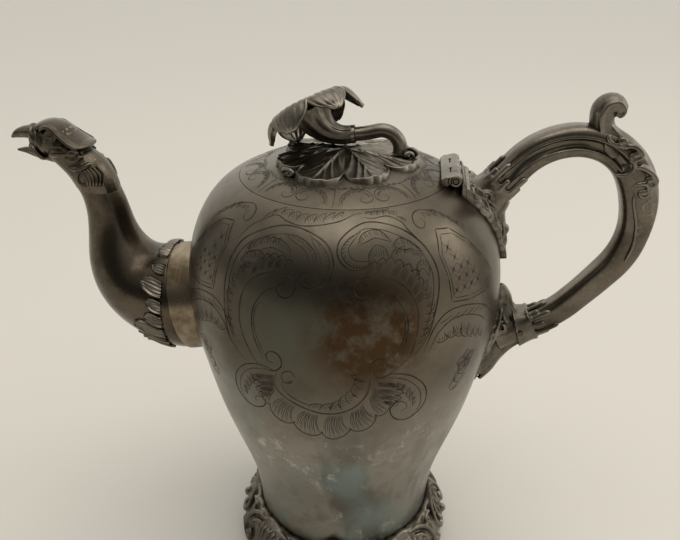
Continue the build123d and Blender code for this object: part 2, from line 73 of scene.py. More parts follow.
def smooth_line(points, count):
    """count points along a Catmull-Rom curve through the given points, at even spacing."""
    points = np.asarray(points, float)
    ends = np.vstack([2 * points[0] - points[1], points, 2 * points[-1] - points[-2]])
    fine = []
    for i in range(1, len(ends) - 2):
        a, b, c, d = ends[i - 1:i + 3]
        t = np.linspace(0, 1, 24, endpoint=False)[:, None]
        square, cube = 2 * a - 5 * b + 4 * c - d, 3 * b - a - 3 * c + d
        fine.append(0.5 * (2 * b + (c - a) * t + square * t**2 + cube * t**3))
    fine = np.vstack([*fine, points[-1:]])
    length = np.concatenate([[0], np.cumsum(np.linalg.norm(np.diff(fine, axis=0), axis=1))])
    at = np.linspace(0, length[-1], count)
    return np.stack([np.interp(at, length, fine[:, k]) for k in range(fine.shape[1])], 1)


def grid_faces(rows, columns, close_rows=False, close_columns=False):
    """Quads of a grid of rows by columns vertices."""
    faces = []
    for i in range(rows if close_rows else rows - 1):
        for j in range(columns if close_columns else columns - 1):
            i2, j2 = (i + 1) % rows, (j + 1) % columns
            faces.append((i * columns + j, i * columns + j2, i2 * columns + j2, i2 * columns + j))
    return faces


def capped_faces(rows, columns):
    """Quads of a closed tube of rows by columns vertices, with a face over each of its ends."""
    last = (rows - 1) * columns
    return [*grid_faces(rows, columns, close_columns=True), tuple(range(columns)),
            tuple(reversed(range(last, last + columns)))]


def full_turn(count):
    """count even angles round a circle, in radians."""
    return np.linspace(0, 2 * math.pi, count, endpoint=False)


def frames_along(path, up):
    """Sideways and upward unit vectors at each point of a path."""
    tangent = np.gradient(path, axis=0)
    tangent /= np.linalg.norm(tangent, axis=1)[:, None]
    side = np.cross(tangent, np.asarray(up, float))
    side /= np.linalg.norm(side, axis=1)[:, None]
    return side, np.cross(side, tangent)


def sweep(path, half_width, half_height, up, sides=12, section=None):
    """A closed tube along a path. The section is an ellipse, or a function of the angle that scales it."""
    path = np.asarray(path, float)
    count = len(path)
    side, rise = frames_along(path, up)
    width = np.broadcast_to(np.asarray(half_width, float), (count,))
    height = np.broadcast_to(np.asarray(half_height, float), (count,))
    angle = full_turn(sides)
    across, along = np.cos(angle), np.sin(angle)
    if section is not None:
        shape = section(angle)
        across, along = across * shape, along * shape
    verts = (path[:, None, :] + side[:, None, :] * (width[:, None] * across)[..., None]
             + rise[:, None, :] * (height[:, None] * along)[..., None]).reshape(-1, 3)
    return verts, capped_faces(count, sides)


def ball(centre, radii, rings=10, sides=16):
    """An ellipsoid, with a very small flat at each pole."""
    pole = 0.02
    polar = np.linspace(pole, math.pi - pole, rings)
    turn = full_turn(sides)
    unit = np.stack([np.sin(polar)[:, None] * np.cos(turn), np.sin(polar)[:, None] * np.sin(turn),
                     np.cos(polar)[:, None] + 0 * turn], -1)
    verts = (unit * np.asarray(radii, float) + np.asarray(centre, float)).reshape(-1, 3)
    return verts, capped_faces(rings, sides)


def spiral(centre, start_radius, end_radius, start_degrees, turn_degrees, count=30):
    """Points of a flat spiral in two coordinates, from its outside to its eye."""
    t = np.linspace(0, 1, count)
    radius = start_radius + (end_radius - start_radius) * t
    angle = np.radians(start_degrees + turn_degrees * t)
    return np.stack([centre[0] + radius * np.cos(angle), centre[1] + radius * np.sin(angle)], 1)


def cast_surface(piece, voxel):
    """Fuses the piece's overlapping forms into one cast skin and softens it. The voxel is in millimetres."""
    remesh = piece.modifiers.new("fuse", "REMESH")
    remesh.mode = "VOXEL"
    remesh.voxel_size = voxel * MM
    remesh.use_smooth_shade = True
    soften = piece.modifiers.new("soften", "SMOOTH")
    soften.factor = 0.5
    soften.iterations = 1


# ---------------------------------------------------------------- materials

class Nodes:
    """Short calls that add nodes to one node tree. A value is a number, a colour or another node's socket."""

    def __init__(self, tree, coordinates="Object"):
        self.tree = tree
        self.coord = tree.nodes.new("ShaderNodeTexCoord").outputs[coordinates]

    def add(self, kind, inputs, **settings):
        """A new node with its settings, and with its inputs by name or number."""
        node = self.tree.nodes.new("ShaderNode" + kind)
        for setting, value in settings.items():
            setattr(node, setting, value)
        for name, value in inputs.items():
            if isinstance(value, bpy.types.NodeSocket):
                self.tree.links.new(value, node.inputs[name])
            else:
                is_colour = isinstance(value, tuple) and kind == "Mix"
                node.inputs[name].default_value = (*value, 1) if is_colour else value
        return node

    def noise(self, scale, detail, rough, stretch=(1, 1, 1)):
        """Noise in the tree's coordinates, which may be stretched."""
        place = self.add("Mapping", {"Scale": stretch, "Vector": self.coord}).outputs["Vector"]
        inputs = {"Scale": scale, "Detail": detail, "Roughness": rough, "Vector": place}
        return self.add("TexNoise", inputs).outputs["Fac"]

    def ramp(self, value, *stops):
        """A colour ramp between two (position, colour) stops."""
        node = self.add("ValToRGB", {"Fac": value})
        for element, (position, colour) in zip(node.color_ramp.elements, stops):
            element.position = position
            element.color = (*colour, 1)
        return node.outputs["Color"]

    def remap(self, value, low, high, from_low, from_high):
        """A value taken from one range to another, clamped."""
        return self.add("MapRange", {"From Min": from_low, "From Max": from_high, "To Min": low,
                "To Max": high, "Value": value}).outputs["Result"]

    def mix(self, factor, first, second):
        return self.add("Mix", {0: factor, 6: first, 7: second}, data_type="RGBA").outputs[2]

    def times(self, first, second):
        return self.add("Math", {0: first, 1: second}, operation="MULTIPLY").outputs[0]

    def openness(self, reach):
        """0 deep in a recess, 1 on open metal. The reach is in millimetres."""
        return self.add("AmbientOcclusion", {"Distance": reach * MM}, samples=8).outputs["AO"]


class Metal(Nodes):
    """A metal's material while its nodes are added."""

    def __init__(self, name, metallic=1.0):
        self.material = bpy.data.materials.new(name)
        self.material.use_nodes = True
        super().__init__(self.material.node_tree)
        self.inputs = self.tree.nodes["Principled BSDF"].inputs
        self.inputs["Metallic"].default_value = metallic

    def done(self, colour, rough, strength=0.0, height=None):
        """Links the colour and the roughness, and a bump of a strength where a height is given."""
        self.tree.links.new(colour, self.inputs["Base Color"])
        if isinstance(rough, float):
            self.inputs["Roughness"].default_value = rough
        else:
            self.tree.links.new(rough, self.inputs["Roughness"])
        if height:
            relief = self.add("Bump", {"Strength": strength, "Distance": 0.3 * MM, "Height": height})
            self.tree.links.new(relief.outputs["Normal"], self.inputs["Normal"])
        return self.material


# Near black painted into recesses: black tarnish, and painted shade there too.
RECESS_TARNISH_AND_SHADE_COLOUR = (0.012, 0.010, 0.008)


def tarnished_silver(name, light, dark, roughness, reach=3.0, bump=0.12, wear=0.75):
    """Silver plate with patchy tarnish, recesses painted black from ambient occlusion as tarnish and painted
    shade, worn ridges and fine specks.
    """
    metal = Metal(name)
    patches = metal.noise(55, 5, 0.6)
    specks = metal.noise(900, 3, 0.6)
    colour = metal.ramp(patches, (0.32, dark), (0.62, light))
    colour = metal.mix(metal.remap(specks, 0.0, 0.5, 0.5, 0.75), colour, dark)
    openness = metal.openness(reach)
    # Recesses are painted near black from ambient occlusion: black tarnish, and painted shade there too.
    colour = metal.mix(metal.remap(openness, 1.0, 0.0, 0.35, 0.85), colour, RECESS_TARNISH_AND_SHADE_COLOUR)
    pointiness = metal.add("NewGeometry", {}).outputs["Pointiness"]
    worn = metal.remap(pointiness, 0.0, wear, 0.53, 0.62)
    colour = metal.mix(worn, colour, tuple(min(1.0, 1.9 * value) for value in light))
    rough = metal.remap(patches, roughness + 0.10, roughness - 0.05, 0.3, 0.7)
    rough = metal.mix(metal.remap(openness, 1.0, 0.0, 0.3, 0.8), rough, (0.75, 0.75, 0.75))
    return metal.done(colour, rough, bump, metal.mix(0.5, patches, specks))


CAST = tarnished_silver("cast_silver", (0.25, 0.225, 0.185), (0.085, 0.073, 0.056), 0.30)
NECK = tarnished_silver("neck_silver", (0.125, 0.104, 0.078), (0.042, 0.033, 0.023), 0.25, 2.0, 0.05, 0.2)
HANDLE = tarnished_silver("handle_silver", (0.185, 0.162, 0.13), (0.07, 0.058, 0.043), 0.26, 2.0, 0.05, 0.2)
HEAD = tarnished_silver("head_silver", (0.155, 0.132, 0.10), (0.055, 0.044, 0.032), 0.27, 2.5, 0.08)
HINGE = tarnished_silver("hinge_silver", (0.20, 0.175, 0.14), (0.08, 0.067, 0.05), 0.30, wear=0.06)
FITTING = tarnished_silver("fitting_metal", (0.15, 0.132, 0.105), (0.07, 0.06, 0.046), 0.36, wear=0.05)


def worn_collar():
    """Pale, rubbed metal round the spout's root, with brown blotches and turning marks."""
    metal = Metal("worn_collar")
    blotches = metal.noise(75, 5, 0.6)
    rings = metal.noise(260, 3, 0.5, (3.0, 0.12, 0.12))
    colour = metal.ramp(blotches, (0.38, (0.11, 0.082, 0.05)), (0.62, (0.33, 0.27, 0.19)))
    colour = metal.mix(metal.remap(rings, 0.0, 0.45, 0.5, 0.7), colour, (0.24, 0.19, 0.13))
    return metal.done(colour, metal.remap(blotches, 0.42, 0.24, 0.35, 0.65))


def engraved_line():
    """The oxidised floor of a cut line, with a little bare metal showing."""
    metal = Metal("engraved_line", 0.85)
    return metal.done(metal.ramp(metal.noise(160, 3, 0.6), (0.35, (0.018, 0.015, 0.012)),
                                 (0.72, (0.085, 0.072, 0.055))), 0.55)


def body_silver():
    """The body: brown-grey tarnish, paler below as a painted reflection of the bright floor, with streaks and
    water marks, and a haze and a stain.
    """
    metal = Metal("raised_silver")
    height = metal.add("SeparateXYZ", {0: metal.coord}).outputs["Z"]
    broad = metal.noise(22, 5, 0.6)
    middle = metal.noise(90, 6, 0.65)
    fine = metal.noise(700, 3, 0.6)
    streaks = metal.noise(60, 3, 0.5, (1, 1, 0.16))
    blue = metal.noise(30, 3, 0.5, (1, 1, 0.7))
    marks = metal.noise(120, 7, 0.75, (1, 1, 0.6))
    # low marks the lower body, where the floor's reflection is painted and where the streaks, blue tint and
    # water marks lie.
    low = metal.remap(height, 1.0, 0.0, 0.085, 0.135)
    marks_zone = metal.times(low, metal.remap(broad, 0.0, 1.0, 0.45, 0.6))
    colour = metal.ramp(broad, (0.30, (0.072, 0.059, 0.042)), (0.70, (0.18, 0.156, 0.121)))
    # Painted reflection: the lower body is painted paler, standing in for the bright floor it reflects.
    colour = metal.mix(metal.times(low, 0.8), colour, (0.345, 0.327, 0.28))
    colour = metal.mix(metal.remap(middle, 0.0, 0.55, 0.48, 0.70), colour, (0.15, 0.12, 0.09))
    for pattern, zone, most, start, end, tint in ((streaks, low, 0.85, 0.50, 0.64, (0.13, 0.118, 0.10)),
                                                  (blue, low, 0.7, 0.52, 0.66, (0.235, 0.30, 0.285)),
                                                  (marks, marks_zone, 0.9, 0.56, 0.66, (0.62, 0.60, 0.54))):
        colour = metal.mix(metal.times(metal.remap(pattern, 0.0, most, start, end), zone), colour, tint)
    haze = metal.remap(broad, 0.55, 0.9, 0.3, 0.6)
    blotch = metal.remap(middle, 0.0, 1.0, 0.34, 0.52)
    for place, near_mm, far_mm, patch, tint in (((-0.014, -0.068, 0.158), 12, 34, haze, (0.085, 0.086,
            0.068)), ((0.017, -0.067, 0.157), 15, 29, blotch, (0.062, 0.037, 0.019))):
        distance = metal.add("VectorMath", {0: metal.coord, 1: place}, operation="DISTANCE").outputs["Value"]
        near = metal.remap(distance, 1.0, 0.0, near_mm * MM, far_mm * MM)
        colour = metal.mix(metal.times(near, patch), colour, tint)
    rough = metal.remap(broad, 0.40, 0.26, 0.3, 0.7)
    rough = metal.mix(metal.remap(marks, 0.0, 0.6, 0.55, 0.68), rough, (0.55, 0.55, 0.55))
    return metal.done(colour, rough, 0.06, metal.mix(0.6, fine, middle))


COLLAR = worn_collar()
ENGRAVED = engraved_line()
BODY = body_silver()

NODE_MATERIALS = {"spout_collar": COLLAR, "spout_neck": NECK, "handle_grip": HANDLE}
for node_name in ("body_shell", "body_base", "mouth_bezel", "lid_dome", "lid_flange"):
    NODE_MATERIALS[node_name] = BODY
for node_name in ("hinge_pin", "handle_pin_upper", "handle_pin_lower", "finial_stud", "finial_washer",
                  "finial_nut"):
    NODE_MATERIALS[node_name] = FITTING
for node_name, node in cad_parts.items():
    node.data.materials.clear()
    node.data.materials.append(NODE_MATERIALS.get(node_name, CAST))

# ---------------------------------------------------------------- surfaces measured on the CAD nodes

def hit(node, origin, direction):
    """Where a ray first meets a CAD node, in millimetres, or None."""
    found, place, _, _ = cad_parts[node].ray_cast(Vector(origin) * MM, Vector(direction).normalized())
    return np.array(place) / MM if found else None


def body_radius_table():
    heights = np.linspace(18, 197.5, 180)
    return heights, np.array([-hit("body_shell", (0, -200, height), (0, 1, 0))[1] for height in heights])


def lid_height_table():
    radii = np.linspace(1, 44.5, 60)
    return radii, np.array([hit("lid_dome", (0, -radius, 300), (0, 0, -1))[2] for radius in radii])


bpy.context.view_layer.update()
BODY_HEIGHTS, BODY_RADII = body_radius_table()
LID_RADII, LID_HEIGHTS = lid_height_table()
BODY_SLOPES = np.gradient(BODY_RADII, BODY_HEIGHTS)
LID_SLOPES = np.gradient(LID_HEIGHTS, LID_RADII)
ARC_MM_PER_DEGREE = 1.2


def on_body(across, height, lift=0.0):
    """Points and normals on the body: across is millimetres round from the front, towards the handle."""
    radius = np.interp(height, BODY_HEIGHTS, BODY_RADII)
    slope = np.interp(height, BODY_HEIGHTS, BODY_SLOPES)
    turn = np.radians(np.asarray(across) / ARC_MM_PER_DEGREE)
    size = np.sqrt(1 + slope**2)
    out = np.stack([np.sin(turn), -np.cos(turn), 0 * turn], -1)
    normal = (out + np.array([0, 0, -1.0]) * np.asarray(slope)[..., None]) / size[..., None]
    place = out * radius[..., None] + np.array([0, 0, 1.0]) * np.asarray(height)[..., None]
    return place + normal * np.asarray(lift)[..., None], normal


def on_lid(across, radius, lift=0.0):
    """Points and normals on the lid: across is degrees round from the front, towards the handle."""
    height = np.interp(radius, LID_RADII, LID_HEIGHTS)
    slope = np.interp(radius, LID_RADII, LID_SLOPES)
    turn = np.radians(across)
    size = np.sqrt(1 + slope**2)
    out = np.stack([np.sin(turn), -np.cos(turn), 0 * turn], -1)
    normal = (np.array([0, 0, 1.0]) - out * np.asarray(slope)[..., None]) / size[..., None]
    place = out * np.asarray(radius)[..., None] + np.array([0, 0, 1.0]) * height[..., None]
    return place + normal * np.asarray(lift)[..., None], normal


# ---------------------------------------------------------------- engraving

RIBBON_LIFT = 0.05


class Engraving:
    """Cut lines on one surface, repeated at some turns. Each is a thin ribbon just over the metal."""

    def __init__(self, surface, turns=(0,), x_scale=1.0):
        self.surface, self.turns, self.x_scale = surface, turns, x_scale
        self.parts = []

    def cut(self, points, width=0.42, mirror=False, step=0.9):
        points = np.asarray(points, float)
        if mirror:
            points = points * (-1, 1)
        length = np.sum(np.linalg.norm(np.diff(points * (self.x_scale, 1), axis=0), axis=1))
        count = max(5, int(length / step))
        line = smooth_line(points, count)
        t = np.linspace(0, 1, count)
        half = 0.5 * width * (0.25 + 0.75 * np.clip(np.minimum(t, 1 - t) * 6, 0, 1))
        for turn in self.turns:
            centre, normal = self.surface(line[:, 0] + turn, line[:, 1], RIBBON_LIFT)
            tangent = np.gradient(centre, axis=0)
            side = np.cross(normal, tangent)
            side /= np.linalg.norm(side, axis=1)[:, None] + 1e-9
            left, right = centre - side * half[:, None], centre + side * half[:, None]
            verts = np.stack([left, right], 1).reshape(-1, 3)
            self.parts.append((verts, grid_faces(count, 2)))

    def blade(self, outer, inner, hatch=9, reach=0.6, width=0.36, mirror=False):
        """A leaf between two curves from its root to its tip, shaded from the outer one."""
        outer, inner = smooth_line(outer, 41), smooth_line(inner, 41)
        self.cut(outer, width, mirror)
        self.cut(inner, width * 0.8, mirror)
        for k in range(hatch):
            i = 3 + 34 * k // hatch
            across = inner[min(40, i + 3)] - outer[i]
            self.cut([outer[i], outer[i] + across * reach * 0.55, outer[i] + across * reach], width * 0.6,
                     mirror)

    def frond(self, stem, reach, leaflets, side, hatch=3, width=0.32, mirror=False):
        """Pointed leaflets along one side of a stem, each shaded below its tip."""
        stem = smooth_line(stem, 8 * leaflets + 1)
        for k in range(leaflets):
            root, end = stem[8 * k], stem[8 * k + 8]
            along = end - root
            out = np.array([along[1], -along[0]]) / np.linalg.norm(along)
            out = out * side * reach * (0.45 + 0.55 * math.sin(math.pi * (k + 0.8) / (leaflets + 0.4)))
            tip = root + along * 1.25 + out
            self.cut([root, root + along * 0.1 + out * 0.5, root + along * 0.6 + out * 0.9, tip], width,
                     mirror)
            self.cut([tip, root + along * 1.0 + out * 0.5, end], width * 0.8, mirror)
            for h in range(hatch):
                start = root + along * (0.2 + 0.22 * h) + out * (0.55 + 0.12 * h)
                self.cut([start, start + along * 0.12 - out * 0.2, start + along * 0.22 - out * 0.42],
                         width * 0.6, mirror)

    def shell(self, base, edge, lobes, lines, width, teeth):
        """Rounded, toothed lobes between a stem and an outer line, each lined from the stem."""
        steps = 32
        base, edge = smooth_line(base, steps * lobes + 1), smooth_line(edge, steps * lobes + 1)
        share = (np.arange(steps * lobes + 1) % steps) / steps
        swell = 0.68 + 0.32 * np.sin(math.pi * share) ** 0.6 + 0.035 * np.abs(np.sin(math.pi * teeth * share))
        rim = base + (edge - base) * swell[:, None]
        self.cut(rim, width, step=0.35)
        for lobe in range(lobes):
            for k in range(lines):
                s = (k + 0.5) / lines
                start = base[int(steps * (lobe + 0.2 + 0.6 * s))]
                end = start + (rim[int(steps * (lobe + s))] - start) * (0.94 if k % 2 else 0.78)
                lean = (edge[steps * (lobe + 1)] - edge[steps * lobe]) * 0.06
                self.cut([start, (start + end) / 2 - lean, end], width * 0.55)

    def star(self, centre):
        """A small star of three crossed cuts."""
        for degrees in (15, 75, 135):
            arm = np.array([math.cos(math.radians(degrees)), math.sin(math.radians(degrees))])
            self.cut([centre - arm, centre, centre + arm], 0.26)

    def piece(self, name, body):
        mesh_piece(name, join_meshes(self.parts), ENGRAVED, body)


front = Engraving(on_body, turns=(0, 180 * ARC_MM_PER_DEGREE))

# The cartouche: a double line on each side, with a spiral at each end.
front.cut([(-26, 139.8), (-29, 143), (-34, 153), (-35.4, 162), (-34, 170), (-30, 175.4), (-24, 178.4),
           (-17, 179), (-13, 177.4), (-12, 174), (-14, 171.2), (-17.6, 171), (-19.4, 173.4), (-18, 175.6),
           (-15.6, 174.8)], 0.55)
front.cut([(-24.4, 143.6), (-28.6, 154), (-29, 163), (-26.4, 169), (-23, 172.6), (-19, 174)], 0.5)
front.cut([(-23.4, 145), (-27.6, 155), (-28, 163), (-25.6, 168)], 0.32)
front.cut([(-26, 139.8), (-22, 138.8), (-18.4, 140.2), (-16.6, 143.4), (-17.6, 147), (-20.6, 148.2),
           (-23, 146.2), (-22.4, 143.4), (-20, 143)], 0.55)
front.cut([(26, 141.4), (32, 147), (35, 157), (35.4, 166), (32.4, 173), (28, 177), (22, 179.2), (16, 179.4),
           (11.8, 177.6), (11, 174.6), (13.4, 172.4), (16.8, 173.4), (17.4, 175.8), (15.2, 177), (14, 175.6)],
          0.55)
front.cut([(26.4, 145.6), (30.4, 154), (31.2, 162), (29, 168), (26, 172), (22, 174.4), (18, 175.2)], 0.5)
front.cut([(25.8, 147.6), (29.4, 155), (30.2, 162), (28.2, 167)], 0.32)
front.cut([(26, 141.4), (22, 138.8), (18.6, 140), (17, 143.6), (18.2, 147), (21.4, 147.8), (23.4, 145),
           (22, 142.2), (19.8, 142.6)], 0.55)

# The two great scrolls over it: the left one curls down at the middle, the right one curls back.
front.cut([(-33, 140), (-39.4, 146), (-42.4, 154), (-44, 164), (-44.6, 174), (-43.6, 181), (-40, 187),
           (-31, 191.4), (-21, 193.4), (-10, 192.6), (-1, 189.8), (2.6, 185), (2.2, 180), (-0.6, 176.8),
           (-4.4, 175.2), (-8.4, 175.6), (-10.8, 178), (-9.6, 180.2), (-6, 180.4), (-3.6, 182.4)], 0.6)
front.cut([(34, 147), (39.6, 154), (43, 163), (46, 173), (46, 180), (42.6, 187), (36.4, 191.8), (28, 194.4),
           (18, 195.2), (10, 193.4), (5, 190.4), (4.2, 187), (6, 184), (10, 181.8), (14.6, 181.8),
           (18.6, 183.4), (20, 184.8)], 0.6)
front.cut([(-36.4, 147), (-40.4, 156), (-42, 166), (-42, 175), (-40.6, 181), (-36.6, 186.2), (-28, 189.8),
           (-19, 191.4)], 0.36)
front.cut([(37.6, 155), (41, 164), (43.4, 173), (43.2, 180), (39.6, 186.4), (33.4, 190.4), (26, 192.8),
           (17, 193.6), (11, 191.8)], 0.36)
front.blade([(-9, 191.8), (-2.6, 189), (1, 185), (0.6, 180.6), (-1.6, 177.8), (-5, 176.4), (-8.4, 177.6)],
            [(-9, 191.8), (-4.4, 187.4), (-2.2, 184), (-2.6, 181), (-4.4, 179.2), (-6.6, 178.8),
             (-8.4, 177.6)], 20, 0.5, 0.34)
front.blade([(20, 184.8), (16, 182.6), (10.6, 182.8), (7, 185), (6, 188), (9, 191), (15, 193)], [(20, 184.8),
        (16, 184.4), (11.6, 184.8), (9.4, 186.4), (9, 188.4), (11, 190.4), (15, 193)], 18, 0.5, 0.34)
for outer, inner, hatch in (
        ([(-37.6, 182.6), (-36, 186), (-29.6, 188.8), (-23, 189.4), (-17, 187.6), (-15.4, 184.6)],
         [(-37.6, 182.6), (-31, 184.6), (-25, 186.4), (-20, 185.8), (-15.4, 184.6)], 16),
        ([(-20.6, 191), (-14.6, 191), (-9, 189.4), (-5, 186.6), (-4.4, 184), (-6.6, 182.6)],
         [(-20.6, 191), (-14, 188.8), (-10, 187.4), (-8, 185.2), (-6.6, 182.6)], 15),
        ([(-38.6, 179.4), (-36, 183), (-31, 184.6), (-27.4, 183.6), (-26.6, 181.6)],
         [(-38.6, 179.4), (-34, 180), (-30, 180.4), (-26.6, 181.6)], 12),
        ([(13, 189), (15, 192), (20, 193.2), (25, 192.4), (28.4, 189.4)],
         [(13, 189), (17.4, 190.2), (21, 191), (24.4, 190.4), (28.4, 189.4)], 14),
        ([(17, 183.6), (17.6, 186.6), (21, 189), (25, 187.6), (26, 184.2)],
         [(17, 183.6), (20, 184), (22, 183), (26, 184.2)], 11),
        ([(28, 188.4), (32, 190.2), (37, 188.8), (41.6, 185)],
         [(28, 188.4), (32, 187), (36.4, 186.2), (41.6, 185)], 10),
        ([(36.4, 177.4), (37.6, 181.4), (41, 182.4), (43, 180), (42, 176.4)],
         [(36.4, 177.4), (38.4, 179.4), (40.4, 179.4), (42, 176.4)], 10)):
    front.blade(outer, inner, hatch)
front.frond([(26.6, 184), (30, 185.6), (35, 185), (39.6, 183)], 2.4, 4, -1)
front.frond([(-36, 183.4), (-30, 186.6), (-22, 188)], 2.6, 5, -1, 2)
front.frond([(-37, 150), (-38.6, 158), (-38.8, 166), (-37, 173), (-33, 178)], 4.2, 9, -1)
front.frond([(-38.6, 178), (-36, 180), (-31, 180.8)], 2.6, 3, 1)
front.frond([(35, 152), (37.4, 160), (38.6, 167), (38.6, 175)], 4.4, 8, 1)
front.shell([(-32, 176), (-26, 179.4), (-18, 180.4), (-12, 178)], [(-31, 181), (-25, 184.6), (-17, 184.4),
        (-10, 180.8)], 6, 6, 0.36, 3)
front.shell([(15, 180), (22, 180.4), (28, 178.2), (33, 174), (36, 167)],
                [(17, 183.8), (25, 185), (32, 183), (38, 178.4), (40, 170)], 8, 5, 0.36, 3)
front.shell([(11.6, 179), (10.2, 176), (12.2, 172.4)], [(6.4, 181), (3.8, 176.6), (7.6, 171.6)], 5, 4, 0.36,
            2)

# Below it: the lower scroll with its shell leaf, and a curl on each side.
front.cut([(-11.2, 137.6), (-13.4, 140.6), (-16.6, 139), (-17, 135.6), (-14.8, 134.2), (-12.6, 135.8),
               (-17.6, 134)], 0.5)
front.cut([(-19, 139), (-20.6, 133), (-18.6, 128), (-13, 124), (-6, 121.2), (0, 120.2), (6.6, 121.4),
           (12, 125), (16, 131), (17, 138), (15.6, 142.4), (12, 143.6)], 0.58)
front.cut([(-17.6, 134), (-16, 129.4), (-12, 126.2), (-6, 124)], 0.42)
front.frond([(-7, 123), (0, 121.8), (6, 123), (11, 127), (14.4, 132), (15.4, 138), (13, 142)], 5.6, 8, -1, 3,
            0.4)
front.shell([(-20.6, 136), (-20.8, 128.6), (-15, 123.6), (-8, 120.4), (-1, 119), (6, 120), (12.6, 123.4),
             (17.4, 130), (18.6, 137)], [(-27, 131), (-27, 118), (-19, 110.6), (-10, 107), (-1, 104.6),
        (6, 106.4), (14, 109.6), (22.6, 116), (27.6, 128)], 6, 12, 0.46, 9)
for curl in ([(-19, 139), (-26, 140.4), (-34, 137.4), (-40, 130.6), (-42, 123), (-40, 117), (-34.6, 114.6),
              (-29, 116.6), (-26.6, 120.4), (-29, 122.4), (-32, 120.6), (-31.4, 118.6)], [(19, 138.4),
        (26, 140), (34, 137), (40.6, 129.6), (42.4, 121), (39, 115), (33.6, 113), (28.6, 115.4), (26.2, 121),
        (29, 124.8), (32.8, 123), (33.4, 119.8), (31, 119)]):
    side = 1 if curl[0][0] > 0 else -1
    front.cut(curl, 0.58)
    front.cut([(x - side * 2.4, z - 1.2) for x, z in curl[1:6]], 0.34)
    front.frond([(side * 25, 136.4), (side * 31, 134.6), (side * 36, 129), (side * 38.4, 122)], 4.0, 6, side,
                3, 0.34)
    front.shell([(side * 20, 137.6), (side * 21, 130), (side * 24, 124)], [(side * 31, 134), (side * 30.4,
            127.6), (side * 29, 122)], 4, 6, 0.36, 4)

# Star panels on the flanks, their frames, and the wings, flowers and sprigs under them.
PANEL = [(52, 190.4), (60, 189.4), (68, 183.6), (76, 174.6), (82, 166), (74, 161.6), (62, 162.4),
         (51.4, 164.6), (51, 174), (49, 183)]
PANEL_CENTRE = np.array([62.0, 175.0])
for mirrored in (True, False):
    sign = -1 if mirrored else 1
    for shrink, width in ((1.0, 0.5), (0.88, 0.28)):
        corners = [PANEL_CENTRE + (np.array(point) - PANEL_CENTRE) * shrink for point in (*PANEL, PANEL[0])]
        for first, second in zip(corners, corners[1:]):
            front.cut([first, (first + second) / 2, second], width, mirrored)
    for row in range(6):
        for column in range(6):
            x, z = 54.5 + 4.6 * column + 2.3 * (row % 2), 184 - 3.9 * row
            if x + z < 241 and x < 76 and z > 164.5:
                front.star(np.array([sign * x, z]))
                front.cut([(x - 2.3, z - 1.95), (x, z), (x + 2.3, z + 1.95)], 0.14, mirrored)
                front.cut([(x - 2.3, z + 1.95), (x, z), (x + 2.3, z - 1.95)], 0.14, mirrored)
    front.cut([(38, 147), (42, 156), (48, 161), (56, 161.4), (65, 159), (73, 155), (80, 148)], 0.5, mirrored)
    front.cut([(40, 146), (44, 153.6), (51, 157.4), (60, 156.4), (69, 152), (76, 146)], 0.42, mirrored)
    for k in range(7):
        start = 45 + 4.6 * k
        front.cut([(start, 157.4 - 0.1 * k * k), (start + 3.4, 158.4 - 0.12 * k * k), (start + 6,
                159.4 - 0.16 * k * k)], 0.26, mirrored)
    front.frond([(43, 151), (50, 154.6), (58, 154), (66, 150), (73, 144.6)], 6.4, 7, 1, 4, 0.38, mirrored)
    heart = np.array([62.0, 134.0])
    for turn in range(5):
        angle = math.radians(72 * turn + 20)
        tip = heart + np.array([math.cos(angle) * 6.4, math.sin(angle) * 5.6])
        bow = np.array([-math.sin(angle), math.cos(angle)]) * 2.4
        front.blade([heart, (heart + tip) / 2 + bow, tip], [heart, (heart + tip) / 2 - bow, tip], 6, 0.7,
                    0.36, mirrored)
    for side in (1, -1):
        front.frond([(56, 121), (60, 125), (61.6, 131)], 4.4, 3, side, 3, 0.34, mirrored)
    # Comma curl and sprig on the shoulder.
    front.cut([(70, 186), (64, 191.4), (58, 194.8), (49, 196.2), (43.4, 195.2), (42.6, 192.8), (45.8, 191.6),
               (48.4, 193), (46.8, 194.4)], 0.5, mirrored)
    front.frond([(70, 187), (63, 191), (56, 193.6), (50, 194)], 2.2, 6, 1, 2, 0.28, mirrored)
front.cut([(-44, 186), (-40, 191), (-34, 194), (-29, 195.4), (-22, 194.4), (-14, 193.8), (-5, 194.4),
           (5, 195.6), (12, 197), (17, 197.3)], 0.48)
front.frond([(-36, 193), (-30, 195.6), (-22, 195.2), (-13, 194.6), (-4, 195.2), (6, 196.4)], 2.2, 9, -1, 3,
            0.32)
front.cut([(17, 196.4), (22, 196), (30, 196.2), (36, 194.4), (38, 191.8), (44, 186)], 0.46)
front.frond([(18, 196.8), (25, 196.4), (32, 196.4), (38, 194)], 1.8, 6, -1, 3, 0.3)
front.piece("engraving_body", "pot")

# The lid's border: eight panels of paired scrolls with leaflets, parted by radial lines.
lid_cuts = Engraving(on_lid, turns=[45 * k for k in range(8)], x_scale=0.7)
lid_cuts.cut([(3, 43.8), (4, 39), (9, 35.4), (16, 34.8), (21, 37), (21.6, 40.4), (18, 42.2), (14.4, 41),
              (15.4, 39)], 0.36)
lid_cuts.cut([(42, 43.8), (41, 39), (36, 35.4), (29, 34.8), (24, 37), (23.4, 40.4), (27, 42.2), (30.6, 41),
              (29.6, 39)], 0.36)
lid_cuts.cut([(0, 44.2), (0.4, 40), (0, 34.2)], 0.3)
lid_cuts.frond([(5, 43), (7, 39.4), (12, 37), (17, 37.4), (19, 39.6)], 2.6, 6, 1, 3, 0.26)
lid_cuts.frond([(40, 43), (38, 39.4), (33, 37), (28, 37.4), (26, 39.6)], 2.6, 6, -1, 3, 0.26)
lid_cuts.frond([(1, 33.8), (12, 32.6), (22, 33.8)], 1.8, 5, -1, 2, 0.24)
lid_cuts.frond([(23, 33.8), (33, 32.6), (44, 33.8)], 1.8, 5, -1, 2, 0.24)
lid_cuts.piece("engraving_lid", "lid")

# ---------------------------------------------------------------- spout

